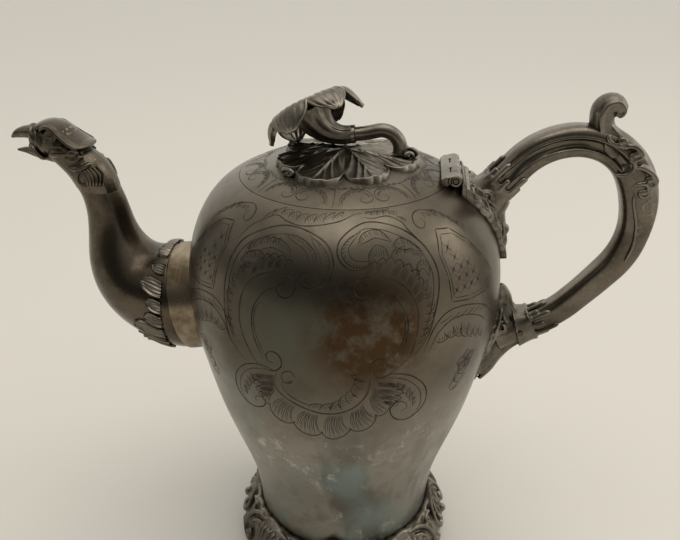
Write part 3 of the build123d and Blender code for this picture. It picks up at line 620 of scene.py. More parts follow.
NECK_LINE = smooth_line([(-75.4, 132.9, 24.8), (-81.5, 133.6, 24.5), (-89.5, 136.7, 23.2), (-98.6, 142, 20.4),
        (-104.6, 149.6, 16.8), (-107.6, 159, 13.2), (-108.8, 170.5, 10.2), (-110.2, 181, 9.0), (-113.4, 191,
        9.2)], 160)
NECK_REACH = np.concatenate([[0], np.cumsum(np.linalg.norm(np.diff(NECK_LINE[:, [0, 1]], axis=0), axis=1))])


def neck_frame(reach, angle):
    """The neck's centre and the outward direction at a reach along it and an angle round it."""
    x, z = (np.interp(reach, NECK_REACH, NECK_LINE[:, k]) for k in (0, 1))
    ahead = [np.interp(np.asarray(reach) + 0.5, NECK_REACH, NECK_LINE[:, k]) - value for k, value in ((0, x),
            (1, z))]
    size = np.hypot(*ahead) + 1e-9
    turn = np.radians(angle)
    out = np.stack([np.sin(turn) * ahead[1] / size, np.cos(turn) + 0 * size, -np.sin(turn) * ahead[0] / size],
                   -1)
    return np.stack([x + 0 * turn, 0 * x + 0 * turn, z + 0 * turn], -1), out


def neck_skin():
    """The neck's true radius on a grid of reaches and angles."""
    skin = np.zeros((len(SKIN_REACHES), len(SKIN_ANGLES)))
    for i, reach in enumerate(SKIN_REACHES):
        nominal = np.interp(reach, NECK_REACH, NECK_LINE[:, 2])
        for j, angle in enumerate(SKIN_ANGLES):
            centre, out = neck_frame(reach, angle)
            place = hit("spout_neck", centre + out * (nominal + 10), -out)
            found = nominal if place is None else (place - centre) @ out
            skin[i, j] = found if abs(found - nominal) < 6 else nominal
    return skin


COLLAR_EDGE = -80.0
SKIN_REACHES = np.linspace(0.5, NECK_REACH[-1], 56)
SKIN_ANGLES = np.arange(0, 361, 8)
NECK_SKIN = neck_skin()


def on_neck(reach, angle, lift):
    """A point on the neck: reach along it from the collar, angle round it from +Y, over the top at 90."""
    reach, angle = np.broadcast_arrays(np.asarray(reach, float), np.asarray(angle, float))
    row = np.clip((reach - SKIN_REACHES[0]) / (SKIN_REACHES[1] - SKIN_REACHES[0]), 0,
                  len(SKIN_REACHES) - 1.001)
    column = (angle % 360) / (SKIN_ANGLES[1] - SKIN_ANGLES[0])
    i, j = row.astype(int), column.astype(int)
    s, t = row - i, column - j
    radius = ((1 - s) * ((1 - t) * NECK_SKIN[i, j] + t * NECK_SKIN[i, j + 1])
              + s * ((1 - t) * NECK_SKIN[i + 1, j] + t * NECK_SKIN[i + 1, j + 1]))
    centre, out = neck_frame(reach, angle)
    return centre + out * (radius + lift)[..., None]


def tube(points, radius, sides=10, count=None, up=(0.05, 1, 0.05)):
    """A smooth round cord through points, thinner at its ends."""
    if count is None:
        length = np.sum(np.linalg.norm(np.diff(np.asarray(points, float), axis=0), axis=1))
        count = max(8, int(length / 0.7))
    line = smooth_line(points, count)
    t = np.linspace(0, 1, count)
    ends = np.clip(np.minimum(t, t[::-1]) * 7 + 0.25, 0, 1)
    return sweep(line, radius * ends, radius * ends, up, sides)


def both_sides(points):
    """The same points on the near side and on the far side."""
    points = np.asarray(points, float)
    return points, points * (1, -1, 1)


def swept_form(line):
    """A form in the middle plane along a line of (x, z, half height, half width)."""
    line = smooth_line(line, 34)
    path = np.stack([line[:, 0], 0 * line[:, 0], line[:, 1]], 1)
    return sweep(path, line[:, 2], line[:, 3], (0, 1, 0), 22)


def bird_head():
    parts = [swept_form([(-110.0, 180, 7.6, 7.6), (-111.2, 186, 8.8, 8.9), (-114.6, 193.4, 9.2, 9.3),
            (-119.8, 199, 7.9, 8.5), (-126, 204.4, 7.4, 7.6), (-133, 207.8, 6.0, 6.0), (-138.6, 209.6, 4.4,
            4.4)]), swept_form([(-134.6, 209.0, 4.0, 4.8), (-130, 209.6, 4.0, 6.4), (-125, 207.6, 3.8, 7.4),
            (-119.6, 204.4, 3.0, 7.8), (-115, 203.4, 1.8, 5.4)]), swept_form([(-134, 210.2, 3.6, 4.6),
            (-140.6, 210.9, 2.9, 3.4), (-145.6, 209.9, 2.0, 2.1), (-149.0, 208.1, 0.5, 0.6)]),
             swept_form([(-129, 200.4, 3.0, 5.2), (-136, 201.4, 2.5, 3.9), (-142.5, 202.5, 1.5, 2.4),
            (-147.4, 202.5, 0.5, 0.6)]), swept_form([(-136.4, 212.6, 1.4, 3.8), (-132.4, 214.2, 2.1, 5.2),
            (-128.6, 214.4, 2.6, 6.6), (-124.6, 212.4, 2.7, 7.8), (-120.4, 208.8, 2.4, 8.5), (-116, 206.4,
            2.0, 8.4), (-113, 206.2, 1.5, 6.6), (-111.8, 206.9, 0.6, 4.0)])]
    for centre, tall, wide in (((-136.6, 208.6), 5.5, 4.9), ((-133.6, 207.4), 6.6, 6.4)):
        turn = full_turn(40)
        ring = np.stack([centre[0] - 0.28 * tall * np.sin(turn), wide * np.cos(turn),
                         centre[1] + tall * np.sin(turn)], 1)
        parts.append(sweep(np.vstack([ring, ring[:2]]), 0.75, 0.75, (-1, 0, 0.1), 8))
    ridges = [
        # the edge of the brow, from over the eye back to the nape
        ([(-133.4, 4.8, 211.6), (-130.6, 6.2, 214.2), (-127.2, 6.9, 214.6), (-123.6, 7.8, 211.8),
          (-119.6, 8.7, 208.6), (-116, 8.7, 206.6), (-114, 7.4, 206.4)], 0.8),
        # the lower lid
        ([(-131.4, 6.4, 209.0), (-128.8, 7.4, 207.4), (-125.4, 8.0, 206.9), (-121.4, 8.4, 206.6)], 0.6),
        # the corner of the mouth and the jaw
        ([(-139.2, 3.9, 206.4), (-136.4, 5.4, 204.2), (-134, 5.9, 201.4), (-131.6, 5.8, 200.2)], 0.9),
        ([(-141, 2.8, 203.4), (-137, 4.3, 202.6), (-133.4, 5.6, 200.2)], 0.7),
        # folds of the throat
        ([(-121.4, 7.4, 201.4), (-117, 8.5, 200.9), (-115.4, 7.6, 201.8), (-113.8, 6.2, 202.6)], 0.9),
        ([(-121.0, 7.2, 197.8), (-116.4, 9.0, 197.0), (-112.8, 7.8, 198.4), (-110.8, 5.8, 199.6)], 1.0)]
    for points, radius in ridges:
        parts += [tube(side, radius) for side in both_sides(points)]
    for side in (-1, 1):
        eye = np.array([-127.0, side * 7.3, 210.9])
        turn = full_turn(28)
        rim = eye + np.stack([2.5 * np.cos(turn), 0.3 * side * np.cos(turn), 2.3 * np.sin(turn)], 1)
        parts.append(sweep(np.vstack([rim, rim[:2]]), 0.55, 0.55, (0, 1, 0), 8))
        parts.append(ball(eye + (0, -0.2 * side, 0), (1.55, 1.3, 1.5), 10, 16))
        parts.append(ball((-117.8, side * 7.9, 204.0), (2.7, 1.9, 2.0)))
        parts.append(ball((-124.6, side * 7.1, 203.4), (4.8, 1.5, 1.7)))
    piece = mesh_piece("bird_head", join_meshes(parts), HEAD, replaces=("spout_head", "spout_lower_bill"))
    cast_surface(piece, FINE_VOXEL)


def neck_feathers():
    """A fan of feather ridges on each side under the throat's folds, with a curl in front of it."""
    parts = []
    axis_x, axis_z = -0.40, 0.92
    neck_radius, least_bulge = 9.25, 2.0
    for side in (1, -1):
        lines = [([(-114.8 + 1.2 * k, 196.6 + 0.3 * k), (-112.8 + 1.25 * k, 193.4 + 0.2 * k),
                   (-112.4 + 1.2 * k, 189.8 - 0.1 * k)], 0.8) for k in range(6)]
        lines.append(([(-114.4, 197), (-116.4, 195.2), (-117, 192.6), (-115.6, 190.2), (-113.6, 190.4),
                       (-113.6, 192.4)], 0.75))
        for line, radius in lines:
            points = []
            for x, z in smooth_line(line, 14):
                off = (x + 113.4) * axis_z - (z - 191) * axis_x
                points.append((x, side * math.sqrt(max(least_bulge, neck_radius**2 - off**2)), z))
            parts.append(tube(points, radius, 8, up=(0.3, 0.1, 1)))
    mesh_piece("neck_feathers", join_meshes(parts), HEAD)


def leaf_border():
    """Cast leaves round the spout's root, long and short in turn, with one broad leaf along the top."""
    # Each leaf is (angle round the neck, half width in degrees, length in millimetres).
    near_side = [(128, 8, 8.0), (150, 10, 13.0), (168, 7.5, 8.5), (184, 7.5, 8.5), (202, 10, 12.5),
                 (219, 7.5, 8.0), (234, 7, 7.0), (251, 9, 12.0)]
    # Where the neck comes out of the collar, for each angle round it.
    reaches = np.linspace(0.5, 24, 95)
    starts = [reaches[np.argmax(on_neck(reaches, angle, 0)[:,
            0] < COLLAR_EDGE - 0.4)] for angle in SKIN_ANGLES]
    far_side = [((180 - angle) % 360, half, length) for angle, half, length in near_side]
    leaves = [(90, 27, 14.0), (270, 12, 13.0)] + near_side + far_side
    s = np.linspace(0, 1, 40)[:, None]
    u = np.linspace(-1, 1, 33)[None, :]
    parts = []
    for angle, half, length in leaves:
        broad = half > 20
        width = half * (0.86 + 0.24 * np.sin(2.4 * s)) * (1 - s ** (1.5 if broad else 3.2)) ** 0.75
        reach = np.interp((angle + width * u) % 360, SKIN_ANGLES,
                          starts) + length * s + 0.25 * np.sin(s * 26) * np.abs(u) ** 3
        lip = 0.75 * np.exp(-((np.abs(u) - 0.80) / 0.17) ** 2)
        belly = 0.55 * (1 - u**2) * np.sin(math.pi * np.clip(s * 1.3, 0, 1)) * (2.6 if broad else 1.0)
        vein = 0.30 * np.cos(u * (9 if broad else 5) * math.pi) * (1 - s)
        curl = np.clip((s - 0.55) / 0.45, 0, 1) ** 2
        lift = 0.75 + lip + belly + vein + curl + 0.012 * length
        lift = lift * np.clip((1 - np.abs(u)) * 14, 0, 1) ** 0.5 * np.clip((1 - s) * 20, 0, 1) ** 0.5 - 0.35
        skin = on_neck(reach + 0 * u, angle + width * u, lift)
        parts.append((skin.reshape(-1, 3), grid_faces(40, 33)))
    mesh_piece("leaf_border", join_meshes(parts), CAST, replaces=("spout_border",))


bird_head()
neck_feathers()
leaf_border()

# ---------------------------------------------------------------- finial

FLOWER_THROAT = np.array([-12.6, -0.5, 219.2])
FLOWER_AXIS = np.array([-0.47, 0.30, 0.83])
FLOWER_AXIS /= np.linalg.norm(FLOWER_AXIS)
FLOWER_SIDE = np.cross(FLOWER_AXIS, (0, 1, 0))
FLOWER_SIDE /= np.linalg.norm(FLOWER_SIDE)
FLOWER_FRONT = np.cross(FLOWER_AXIS, FLOWER_SIDE)


def in_flower(radius, angle, height):
    """A point given by radius, angle and height about the flower's leaning axis."""
    radius, angle, height = (np.asarray(value, float)[..., None] for value in (radius, angle, height))
    outward = np.cos(angle) * FLOWER_SIDE + np.sin(angle) * FLOWER_FRONT
    return FLOWER_THROAT + radius * outward + height * FLOWER_AXIS


def flower():
    """Six ribbed petals that fold back over the tube, a funnel between them, and a few stamens."""
    parts = []
    for k in range(6):
        centre = math.radians(60 * k + 16)
        droop = (0.0, 1.4, 0.4, 1.8, 0.2, 1.0)[k]
        profile = smooth_line([(5.2, 1.0), (9.0, 5.2), (13.2, 7.0), (16.8, 5.8), (18.6, 2.6 - droop),
                (18.7, -0.8 - droop)], 40)
        s = np.linspace(0, 1, 40)[:, None]
        u = np.linspace(-1, 1, 33)[None, :]
        half = np.radians(31 + 4 * np.sin(s * math.pi)) * (1.003 - s**4.5) ** 0.62
        ribs = 0.22 * np.cos(u * 19) * np.clip(s * 3, 0, 1) * (1 - np.abs(u) ** 6) + 0.35 * (k % 2)
        belly = 1.2 * (1 - u**2) * s
        rim = 0.6 * np.exp(-((1 - np.abs(u)) / 0.07) ** 2) + 0.5 * np.exp(-((1 - s) / 0.05) ** 2)
        radius = profile[:, :1] + (ribs + belly + rim) * s
        height = profile[:, 1:] + (ribs + belly * 0.6 + rim) * (1 - s)
        grid = in_flower(radius, centre + half * u, height)
        parts.append((grid.reshape(-1, 3), grid_faces(40, 33)))
    turn = full_turn(48)[None, :]
    funnel = smooth_line([(7.0, 3.6), (5.4, 1.4), (3.2, -2.5), (1.6, -6)], 14)
    grid = in_flower(funnel[:, :1] + 0 * turn, turn + 0 * funnel[:, :1], funnel[:, 1:] + 0 * turn)
    parts.append((grid.reshape(-1, 3), grid_faces(14, 48, close_columns=True)))
    piece = mesh_piece("flower_petals", join_meshes(parts), CAST, "lid", replaces=("finial_flower",))
    skin = piece.modifiers.new("thickness", "SOLIDIFY")
    skin.thickness = 0.8 * MM
    skin.offset = -1
    stamens = []
    for angle in full_turn(5):
        stamens.append(tube([in_flower(r, angle, h) for r, h in ((0.8, -5), (1.3, 0), (2.6, 4.2))], 0.4, 8,
                            up=FLOWER_SIDE + 0.1))
        stamens.append(ball(in_flower(2.8, angle, 4.6), (0.8, 0.8, 0.8), 8, 10))
    mesh_piece("flower_stamens", join_meshes(stamens), CAST, "lid")


def flower_tube():
    """The flower's ribbed tube, which lies along the lid and bends up into the throat."""
    line = smooth_line([(4.4, 0, 214.4, 3.5), (-1.5, -0.2, 213.9, 3.9), (-6.6, -0.4, 215.2, 4.9),
                        (-10.4, -0.5, 217.9, 6.3), (-13.2, -0.3, 221.4, 7.8), (-14.6, 0.2, 223.8, 8.8)], 40)
    ribbed = sweep(line[:, :3], line[:, 3], line[:, 3], (0, 1, 0), 96,
                   lambda angle: 1 + 0.055 * np.cos(9 * angle))
    mesh_piece("flower_tube", ribbed, CAST, "lid", replaces=("finial_calyx",))


def leaf_bed():
    """A large lobed leaf on the lid, with veins, a raised edge, and curled lobes at its ends."""
    rings, columns = 60, 432
    turn = full_turn(columns)
    lobes = 7
    notch = np.abs(np.cos(turn * lobes / 2 + 0.5))
    outline = 20.5 + 9.6 * notch**0.42 + 0.8 * np.abs(np.sin(turn * lobes * 2.5)) * notch
    outline = outline * (1 + 0.04 * np.sin(3 * turn + 1))
    share = np.linspace(0, 1, rings)[:, None]
    radius = outline * share
    x = 0.5 + radius * np.cos(turn)
    y = -3 + radius * np.sin(turn)
    ground = np.interp(np.hypot(x, y), LID_RADII, LID_HEIGHTS)
    off_vein = np.abs(np.sin(turn * lobes / 2 + 0.5)) * radius * 2 / lobes
    veins = 0.8 * np.exp(-(off_vein / 0.7) ** 2) * (1 - share**6)
    for start in (6, 12, 18):
        branch = np.exp(-((off_vein - 0.42 * (radius - start)) / 0.5) ** 2) * (radius > start)
        veins = veins + 0.4 * branch * (1 - share**8)
    edge = 0.8 * np.exp(-((share - 0.965) / 0.022) ** 2)
    cup = 0.9 * np.cos(turn * lobes + 1) * share**3 - np.sin(math.pi * share**2)
    fall = np.clip((1 - share) * 60, 0, 1)
    z = ground + (1.7 + veins + edge + cup) * fall - 0.1
    verts = np.stack([x, y, z], -1).reshape(-1, 3)
    mesh_piece("leaf_bed", (verts, grid_faces(rings, columns, close_columns=True)), CAST, "lid",
               replaces=("finial_leaf_bed",))
    curls = []
    for centre, size, side in (((26.5, -3.5, 206.6), 3.0, 1), ((28.6, 2.5, 206.3), 2.4, -1), ((-20, -24,
            204.4), 2.6, -1), ((24.5, 7.5, 206.2), 2.6, 1)):
        flat = spiral((0, 0), size, 0.5, 200, 430 * side, 36)
        path = np.stack([centre[0] + flat[:, 0], centre[1] + 0.6 * flat[:, 0] * side,
                         centre[2] + 0.75 * flat[:, 1]], 1)
        curls.append(tube(path, 0.95, 10, 60, up=(0.5, 1, 0.2)))
        curls.append(ball(centre, (1.2, 1.1, 1.0), 8, 12))
    mesh_piece("leaf_curls", join_meshes(curls), CAST, "lid")


flower()
flower_tube()
leaf_bed()

# ---------------------------------------------------------------- handle

def turned(vector, angle):
    """A flat vector turned by an angle in radians."""
    cos, sin = math.cos(angle), math.sin(angle)
    return np.array([vector[0] * cos - vector[1] * sin, vector[1] * cos + vector[0] * sin])


def tangent_arcs(points, step=0.8):
    """A flat path: a straight first run, then arcs that each go on in the last one's direction."""
    points = [np.array(point, float) for point in points]
    heading = points[1] - points[0]
    path = [points[0] + heading * t for t in np.linspace(0, 1, int(np.linalg.norm(heading) / step),
            endpoint=False)]
    heading /= np.linalg.norm(heading)
    for start, end in zip(points[1:], points[2:]):
        chord = end - start
        half_turn = math.atan2(heading[0] * chord[1] - heading[1] * chord[0], heading @ chord)
        radius = np.linalg.norm(chord) / (2 * math.sin(half_turn))
        count = int(abs(2 * radius * half_turn) / step)
        for t in np.linspace(0, 1, count, endpoint=False):
            angle = half_turn * t
            path.append(start + 2 * radius * math.sin(angle) * turned(heading, angle))
        heading = turned(heading, 2 * half_turn)
    path.append(points[-1])
    return np.array(path)


HANDLE_PATH = tangent_arcs([(61, 190), (73, 204.2), (94, 214.9), (118, 201.5), (123.4, 182), (116.4, 158.5),
        (101.6, 140.4), (79.5, 126.6)])


HANDLE_SIDES = 120
LEAF_TIPS = 12
HANDLE_HALF_HEIGHT, HANDLE_HALF_WIDTH, HANDLE_CORNER = 6.6, 6.5, 0.62
GROOVE_START, GROOVE_DRIFT = 1.4, -5.44


def handle_section(rows, grow, groove):
    """Sections along part of the handle, larger by grow, with a groove of given depths down each side."""
    path = HANDLE_PATH[rows]
    ahead = np.gradient(path, axis=0)
    ahead /= np.linalg.norm(ahead, axis=1)[:, None]
    outward = np.stack([-ahead[:, 1], ahead[:, 0]], 1)
    angle = full_turn(HANDLE_SIDES)[None, :]
    n = (HANDLE_HALF_HEIGHT + grow)[:, None] * np.sign(np.sin(angle)) * np.abs(np.sin(angle)) ** HANDLE_CORNER
    y = (HANDLE_HALF_WIDTH + grow)[:, None] * np.sign(np.cos(angle)) * np.abs(np.cos(angle)) ** HANDLE_CORNER
    share = np.linspace(0, 1, len(path))[:, None]
    near = np.abs(n - GROOVE_START - GROOVE_DRIFT * share)
    hollow = groove[:, None] * np.clip((2.1 - near) / 0.7, 0, 1)
    lip = 0.35 * (groove[:, None] > 0.2) * np.exp(-((near - 2.7) / 0.45) ** 2)
    side = np.abs(np.cos(angle)) > 0.5
    y = y - np.sign(y) * side * (hollow - lip)
    x = path[:, :1] + n * outward[:, :1]
    z = path[:, 1:] + n * outward[:, 1:]
    verts = np.stack([x, y, z], -1).reshape(-1, 3)
    return verts, capped_faces(len(path), HANDLE_SIDES)


def handle():
    """The handle's tube, grooved down each side of its upper part and thinner towards its lower end."""
    share = np.linspace(0, 1, len(HANDLE_PATH))
    groove = 2.0 * np.clip((share - 0.045) / 0.09, 0, 1) * np.clip((0.40 - share) / 0.012, 0, 1)
    grow = -0.9 * np.clip((share - 0.5) / 0.3, 0, 1)
    mesh_piece("handle_tube", handle_section(slice(None), grow, groove), HANDLE,
               replaces=("handle_grip",))


def in_plane(points, y):
    """Flat (x, z) points set at a distance y from the middle plane."""
    return np.array([(x, y, z) for x, z in points])


def handle_scrolls():
    """The thumb scroll and the scrolled leaf that runs from it down the handle's back."""
    parts = [swept_form([(108.5, 209, 5.2, 5.4), (105.4, 216.5, 5.0, 5.0), (103.0, 222.6, 4.8, 5.0),
            (103.2, 228.0, 4.8, 5.2), (106.6, 229.8, 4.3, 5.4), (109.8, 227.2, 3.2, 5.0)]),
             swept_form([(105.4, 222.6, 1.2, 4.0), (109, 218, 2.6, 4.8), (114.5, 213.4, 3.5, 5.6),
            (120, 207.6, 3.9, 5.9), (124.4, 200, 4.0, 6.0), (126.8, 190, 4.2, 5.9), (127.0, 180, 4.0, 5.2),
            (125.6, 170, 3.2, 4.2), (122.6, 161, 1.4, 2.4)])]
    ridges = [([(105.4, 213), (102.4, 220), (101.6, 225), (103.4, 230), (107.4, 231.2), (110, 228.4),
                (108.6, 225.8), (106.4, 226.8)], 4.9, 0.8), ([(105.4, 219.2), (105.2, 217.1), (107.2, 215.4),
            (110.1, 214.5), (112.3, 215.7), (110.6, 217.3), (108.6, 216.9)], 6.2, 1.0), ([(110.4, 213.4),
            (113.2, 214.6), (116.1, 214.3), (118.9, 212), (118.8, 209.9), (116.5, 209.2), (114.8, 210.8),
            (116.2, 212.2)], 6.4, 1.05), ([(110, 203.2), (112.6, 202.6), (115.6, 203.6), (117.1, 206.2),
            (116, 208.6), (114.2, 208.6)], 6.7, 0.9), ([(117.2, 205.4), (119.5, 206.1), (122.2, 205.1),
            (125.1, 203.1), (126.6, 200.2), (125.4, 198.3), (123, 199.6), (122.6, 202)], 6.3, 1.15),
              ([(117.8, 198.4), (120, 199.2), (122.6, 199.3), (124.5, 197.3), (124.4, 194.7), (122.3, 193.8),
                (120.9, 195.6), (122.4, 196.8)], 6.4, 1.05), ([(118.8, 196), (119.4, 191), (120.9, 186),
            (122.4, 180), (122.6, 172), (120.6, 164)], 6.5, 0.7), ([(127.6, 196), (128.9, 190), (129, 183),
            (128, 175), (125.8, 167)], 4.6, 0.8), ([(126, 192.6), (123.6, 190.4), (124.2, 187.2)], 5.8, 0.8),
              ([(127.6, 187), (125, 184.6), (125.4, 181.4)], 5.6, 0.75)]
    for points, y, radius in ridges:
        parts += [tube(in_plane(points, side * y), radius) for side in (1, -1)]
    for side in (1, -1):
        for x, z, radius in ((110.2, 216.2, 1.2), (116.8, 211.4, 1.3), (124, 201, 1.5), (122.7, 195.8, 1.3)):
            parts.append(ball((x, side * 6.4, z), (radius, 1.0, radius), 8, 14))
        for k in range(6):
            parts.append(ball((123.6 + 0.35 * k - 0.09 * k * k, side * 5.8, 189.4 - 3.0 * k), (0.9, 0.9, 0.9),
                              8, 10))
    piece = mesh_piece("handle_scrolls", join_meshes(parts), CAST, replaces=("thumb_scroll",
            "handle_ornament"))
    cast_surface(piece, FINE_VOXEL)


def behind_body(across, height, lift):
    """A point on the body at the handle side: across is millimetres round from the handle's plane."""
    radius = np.interp(height, BODY_HEIGHTS, BODY_RADII)
    around = 90 + np.degrees(np.asarray(across) / radius)
    return on_body(around * ARC_MM_PER_DEGREE, height, lift)[0]


def body_rib(points, radius):
    """A round cord over the body at the handle side, through (across, height, lift) points."""
    return tube([behind_body(*point) for point in points], radius, up=(1, 0.1, 0.1))


def leaf_plate(outline, relief, rows=90, columns=61):
    """A closed leaf on the body: the outline gives (height, half width) pairs, and relief its thickness."""
    outline = np.array(outline, float)
    heights = np.linspace(outline[0, 0], outline[-1, 0], rows)[:, None]
    half = np.interp(heights, outline[:, 0], outline[:, 1])
    half = half * (1 + 0.07 * np.abs(np.sin(heights * 0.75)))
    u = np.linspace(-1, 1, columns)[None, :]
    across = half * u
    thick = relief(across, heights) * np.clip((1 - np.abs(u)) * 9, 0.12, 1) ** 0.5
    top = behind_body(across, heights + 0 * u, thick)
    under = behind_body(across, heights + 0 * u, -0.8 + 0 * thick)
    verts = np.concatenate([top, under[:, ::-1]], 1).reshape(-1, 3)
    return verts, capped_faces(rows, 2 * columns)


def fluted(centre_height, flutes, base, depth):
    """Relief of flutes that fan out from a point on the leaf."""
    def relief(across, heights):
        fan = np.arctan2(across, centre_height - heights)
        return base + depth * np.cos(fan * flutes) + 0 * heights
    return relief


def ferrule(rows, inner, outer):
    """A collar round the handle with a rolled rim at one end."""
    t = np.linspace(0, 1, len(HANDLE_PATH[rows]))
    grow = inner + (outer - inner) * t**2 + 0.5 * np.exp(-((t - 0.06) / 0.05) ** 2)
    return handle_section(rows, grow, 0 * t)


def sockets():
    """The two leaf sockets that hold the handle, with ribs, long leaf tips and a spiral on each side."""
    upper = [leaf_plate([(160, 0.6), (165, 3.4), (171, 6.6), (178, 9.4), (184, 12.4), (188, 14.4),
            (194.4, 13.4)], fluted(189, 11, 2.5, 0.55)), ferrule(slice(10, None, -1), 0.9, 2.4),
             swept_form([(66, 191.5, 6.4, 7.4), (62, 187, 8.6, 8.6), (57.5, 184.5, 9.4, 9.4)]),
             swept_form([(66.4, 188, 3.0, 5.6), (67, 182, 2.4, 4.8), (68.2, 177, 2.0, 3.6), (69.2, 173.6, 1.9,
            2.8), (69.3, 168, 1.4, 2.2), (69.3, 161, 0.8, 1.0)])]
    lower = [leaf_plate([(95, 0.6), (100, 2.6), (107, 5.2), (114, 8.2), (121, 10.6), (128, 11), (135, 9.2),
            (141, 6.2), (147, 1.6)], fluted(128, 9, 2.3, 0.5)), ferrule(slice(-11, None), 0.9, 2.6),
             swept_form([(84, 128.8, 6.6, 7.2), (77, 125.4, 8.2, 8.2), (70.5, 122.5, 9.4, 9.2)]),
             swept_form([(81, 120.5, 2.4, 5.6), (76.4, 116.2, 2.6, 5.6), (72.6, 109.6, 2.4, 4.2), (69.4, 102,
            2.0, 2.8), (65.9, 95.4, 0.9, 1.2)]), swept_form([(74.5, 121.5, 5.0, 6.4), (71, 114.4, 4.6, 5.2),
            (67.6, 106.4, 3.4, 4.0), (65, 99, 2.0, 2.2)]), swept_form([(75, 131, 4.6, 6.2), (72.2, 136.8, 3.2,
            4.6), (70.8, 142.6, 2.2, 3.0)]), swept_form([(79, 133.2, 2.4, 5.0), (75.4, 137, 2.6, 4.4),
            (73.6, 141.4, 2.8, 3.9), (72.3, 145.2, 1.9, 2.6), (71.2, 147.6, 0.7, 1.0)])]
    # Long leaf tips that reach from each ferrule out along the handle.
    for parts, rows, lift in ((upper, slice(6, 27), 0.2), (lower, slice(-9, -30, -1), -0.9)):
        grid = handle_section(rows, np.full(21, lift), np.zeros(21))[0].reshape(-1, HANDLE_SIDES, 3)
        for k in range(LEAF_TIPS):
            tip_row = 16 if k % 2 else 11
            parts.append(tube(grid[:tip_row:3, HANDLE_SIDES // LEAF_TIPS * k], 1.25, up=(0.3, 0.5, 0.4)))
    for side in (1, -1):
        for k in range(6):
            end_across, end_height = side * (2.6 + 2.1 * k), 166 + 4.3 * k
            upper.append(body_rib([(side * (1.5 + 1.1 * k), 186.5, 4.6), (0.8 * end_across, end_height + 6,
                    3.4), (end_across, end_height, 2.4)], 0.8))
            low_across, low_height = side * (1.6 + 1.5 * k), 101 + 4.4 * k
            lower.append(body_rib([(side * (1.5 + k), 121, 4.8), (0.9 * low_across, low_height + 5, 3.2),
                                   (low_across, low_height, 2.2)], 0.75))
        for k in range(3):
            upper.append(body_rib([(side * (6.5 + 2.4 * k), 188 + k, 3.4), (side * (8 + 2.4 * k), 191.5, 3.0),
                                   (side * (8.6 + 2.2 * k), 194.2, 2.2)], 0.9))
        lower.append(body_rib([(side * 9.4, 121, 2.4), (side * 10.4, 130, 2.4), (side * 6.4, 140, 2.2)], 0.9))
        lower.append(tube(in_plane(spiral((72.6, 129.5), 3.2, 0.6, 80, 400, 30), side * 8.2), 0.8, 8, 40))
        upper.append(tube(in_plane(spiral((59.5, 190.6), 3.6, 0.6, 20, 400, 30), side * 8.6), 0.85, 8, 40))
    upper.append(ball((70.2, 0, 174.4), (1.7, 2.8, 2.3)))
    for name, parts, node in (("upper_socket_leaf", upper, "handle_upper_socket"),
                              ("lower_socket_leaf", lower, "handle_lower_socket")):
        piece = mesh_piece(name, join_meshes(parts), CAST, replaces=(node,))
        cast_surface(piece, SOCKET_VOXEL)


handle()
handle_scrolls()
sockets()

# ---------------------------------------------------------------- foot

SKIRT_THICKNESS = 2.6
FOOT_PROFILE = np.array([(0.0, 52.6), (2, 53.6), (5, 53.9), (9, 52.8), (14, 49.9), (19, 47.0), (23, 45.6),
        (27.6, 46.6)])


def on_foot(angle, height, lift=0.0):
    """A point on the foot's skirt: angle in degrees from +X."""
    radius = np.interp(height, FOOT_PROFILE[:, 0], FOOT_PROFILE[:, 1]) + lift
    turn = np.radians(angle)
    return np.stack([radius * np.cos(turn), radius * np.sin(turn), height + 0 * radius], -1)


def foot_skirt():
    """The pierced-looking band of the foot: hollows and ribs in relief, a scalloped top and arches below."""
    columns, rows = 720, 40
    angle = np.linspace(0, 360, columns, endpoint=False)
    quarter = (angle + 45) % 90 - 45
    crest = np.exp(-(quarter / 7.5) ** 2)
    shell = np.exp(-((np.abs(quarter) - 45) / 9) ** 2)
    top = 20.5 + 6.4 * crest + 1.2 * shell + 0.6 * np.abs(np.sin(np.radians(angle) * 18))
    bottom = 3.2 * np.exp(-((np.abs(quarter) - 18) / 12) ** 2)
    s = np.linspace(0, 1, rows)[:, None]
    height = bottom + (top - bottom) * s
    ribs = 0.35 * np.cos(np.radians(angle) * 72 + 3 * s) * np.sin(s * math.pi)
    hollow = -1.4 * np.exp(-((np.abs(quarter) - 12) / 4.5) ** 2) * np.exp(-((height - 14) / 5) ** 2)
    hollow = hollow - 1.2 * np.exp(-((np.abs(quarter) - 30) / 5) ** 2) * np.exp(-((height - 10) / 5) ** 2)
    outer = on_foot(angle + 0 * s, height, ribs + hollow)
    inner = on_foot(angle + 0 * s, height, -SKIRT_THICKNESS)
    verts = np.concatenate([outer, inner[::-1]]).reshape(-1, 3)
    return verts, grid_faces(2 * rows, columns, close_rows=True, close_columns=True)


# Half a quarter's scrolls, each a radius and (degrees from the quarter's middle, height) points.
FOOT_SCROLLS = ((1.25, [(1.5, 25), (6, 22.6), (11.5, 18), (14.5, 12.5), (13, 8.2), (9, 7.6), (7.4, 10.4),
        (9.4, 12.6)]), (0.9, [(2, 20), (5.5, 18.6), (8.4, 15.6), (8.6, 13.4)]), (1.35, [(40, 20.4), (33, 20),
        (26, 16.5), (22.5, 11), (23.4, 5.6), (27.6, 3.2), (31.6, 5), (31.4, 8.6), (28.4, 9.2)]), (0.9,
        [(37, 17.4), (31.5, 15.6), (28, 12.4)]), (1.0, [(15, 18.6), (19, 19.8), (22.6, 18.4), (22, 16.2),
        (19.6, 16.4)]), (1.0, [(15, 6), (18, 3.8), (21, 5), (19.8, 7.6)]), (0.9, [(0, 26.8), (2.6, 23),
        (3.4, 18.6), (1.6, 13)]), (1.2, [(32, 2.0), (37.5, 1.9), (41.5, 4), (40.6, 7.4), (37.4, 6.8)]))


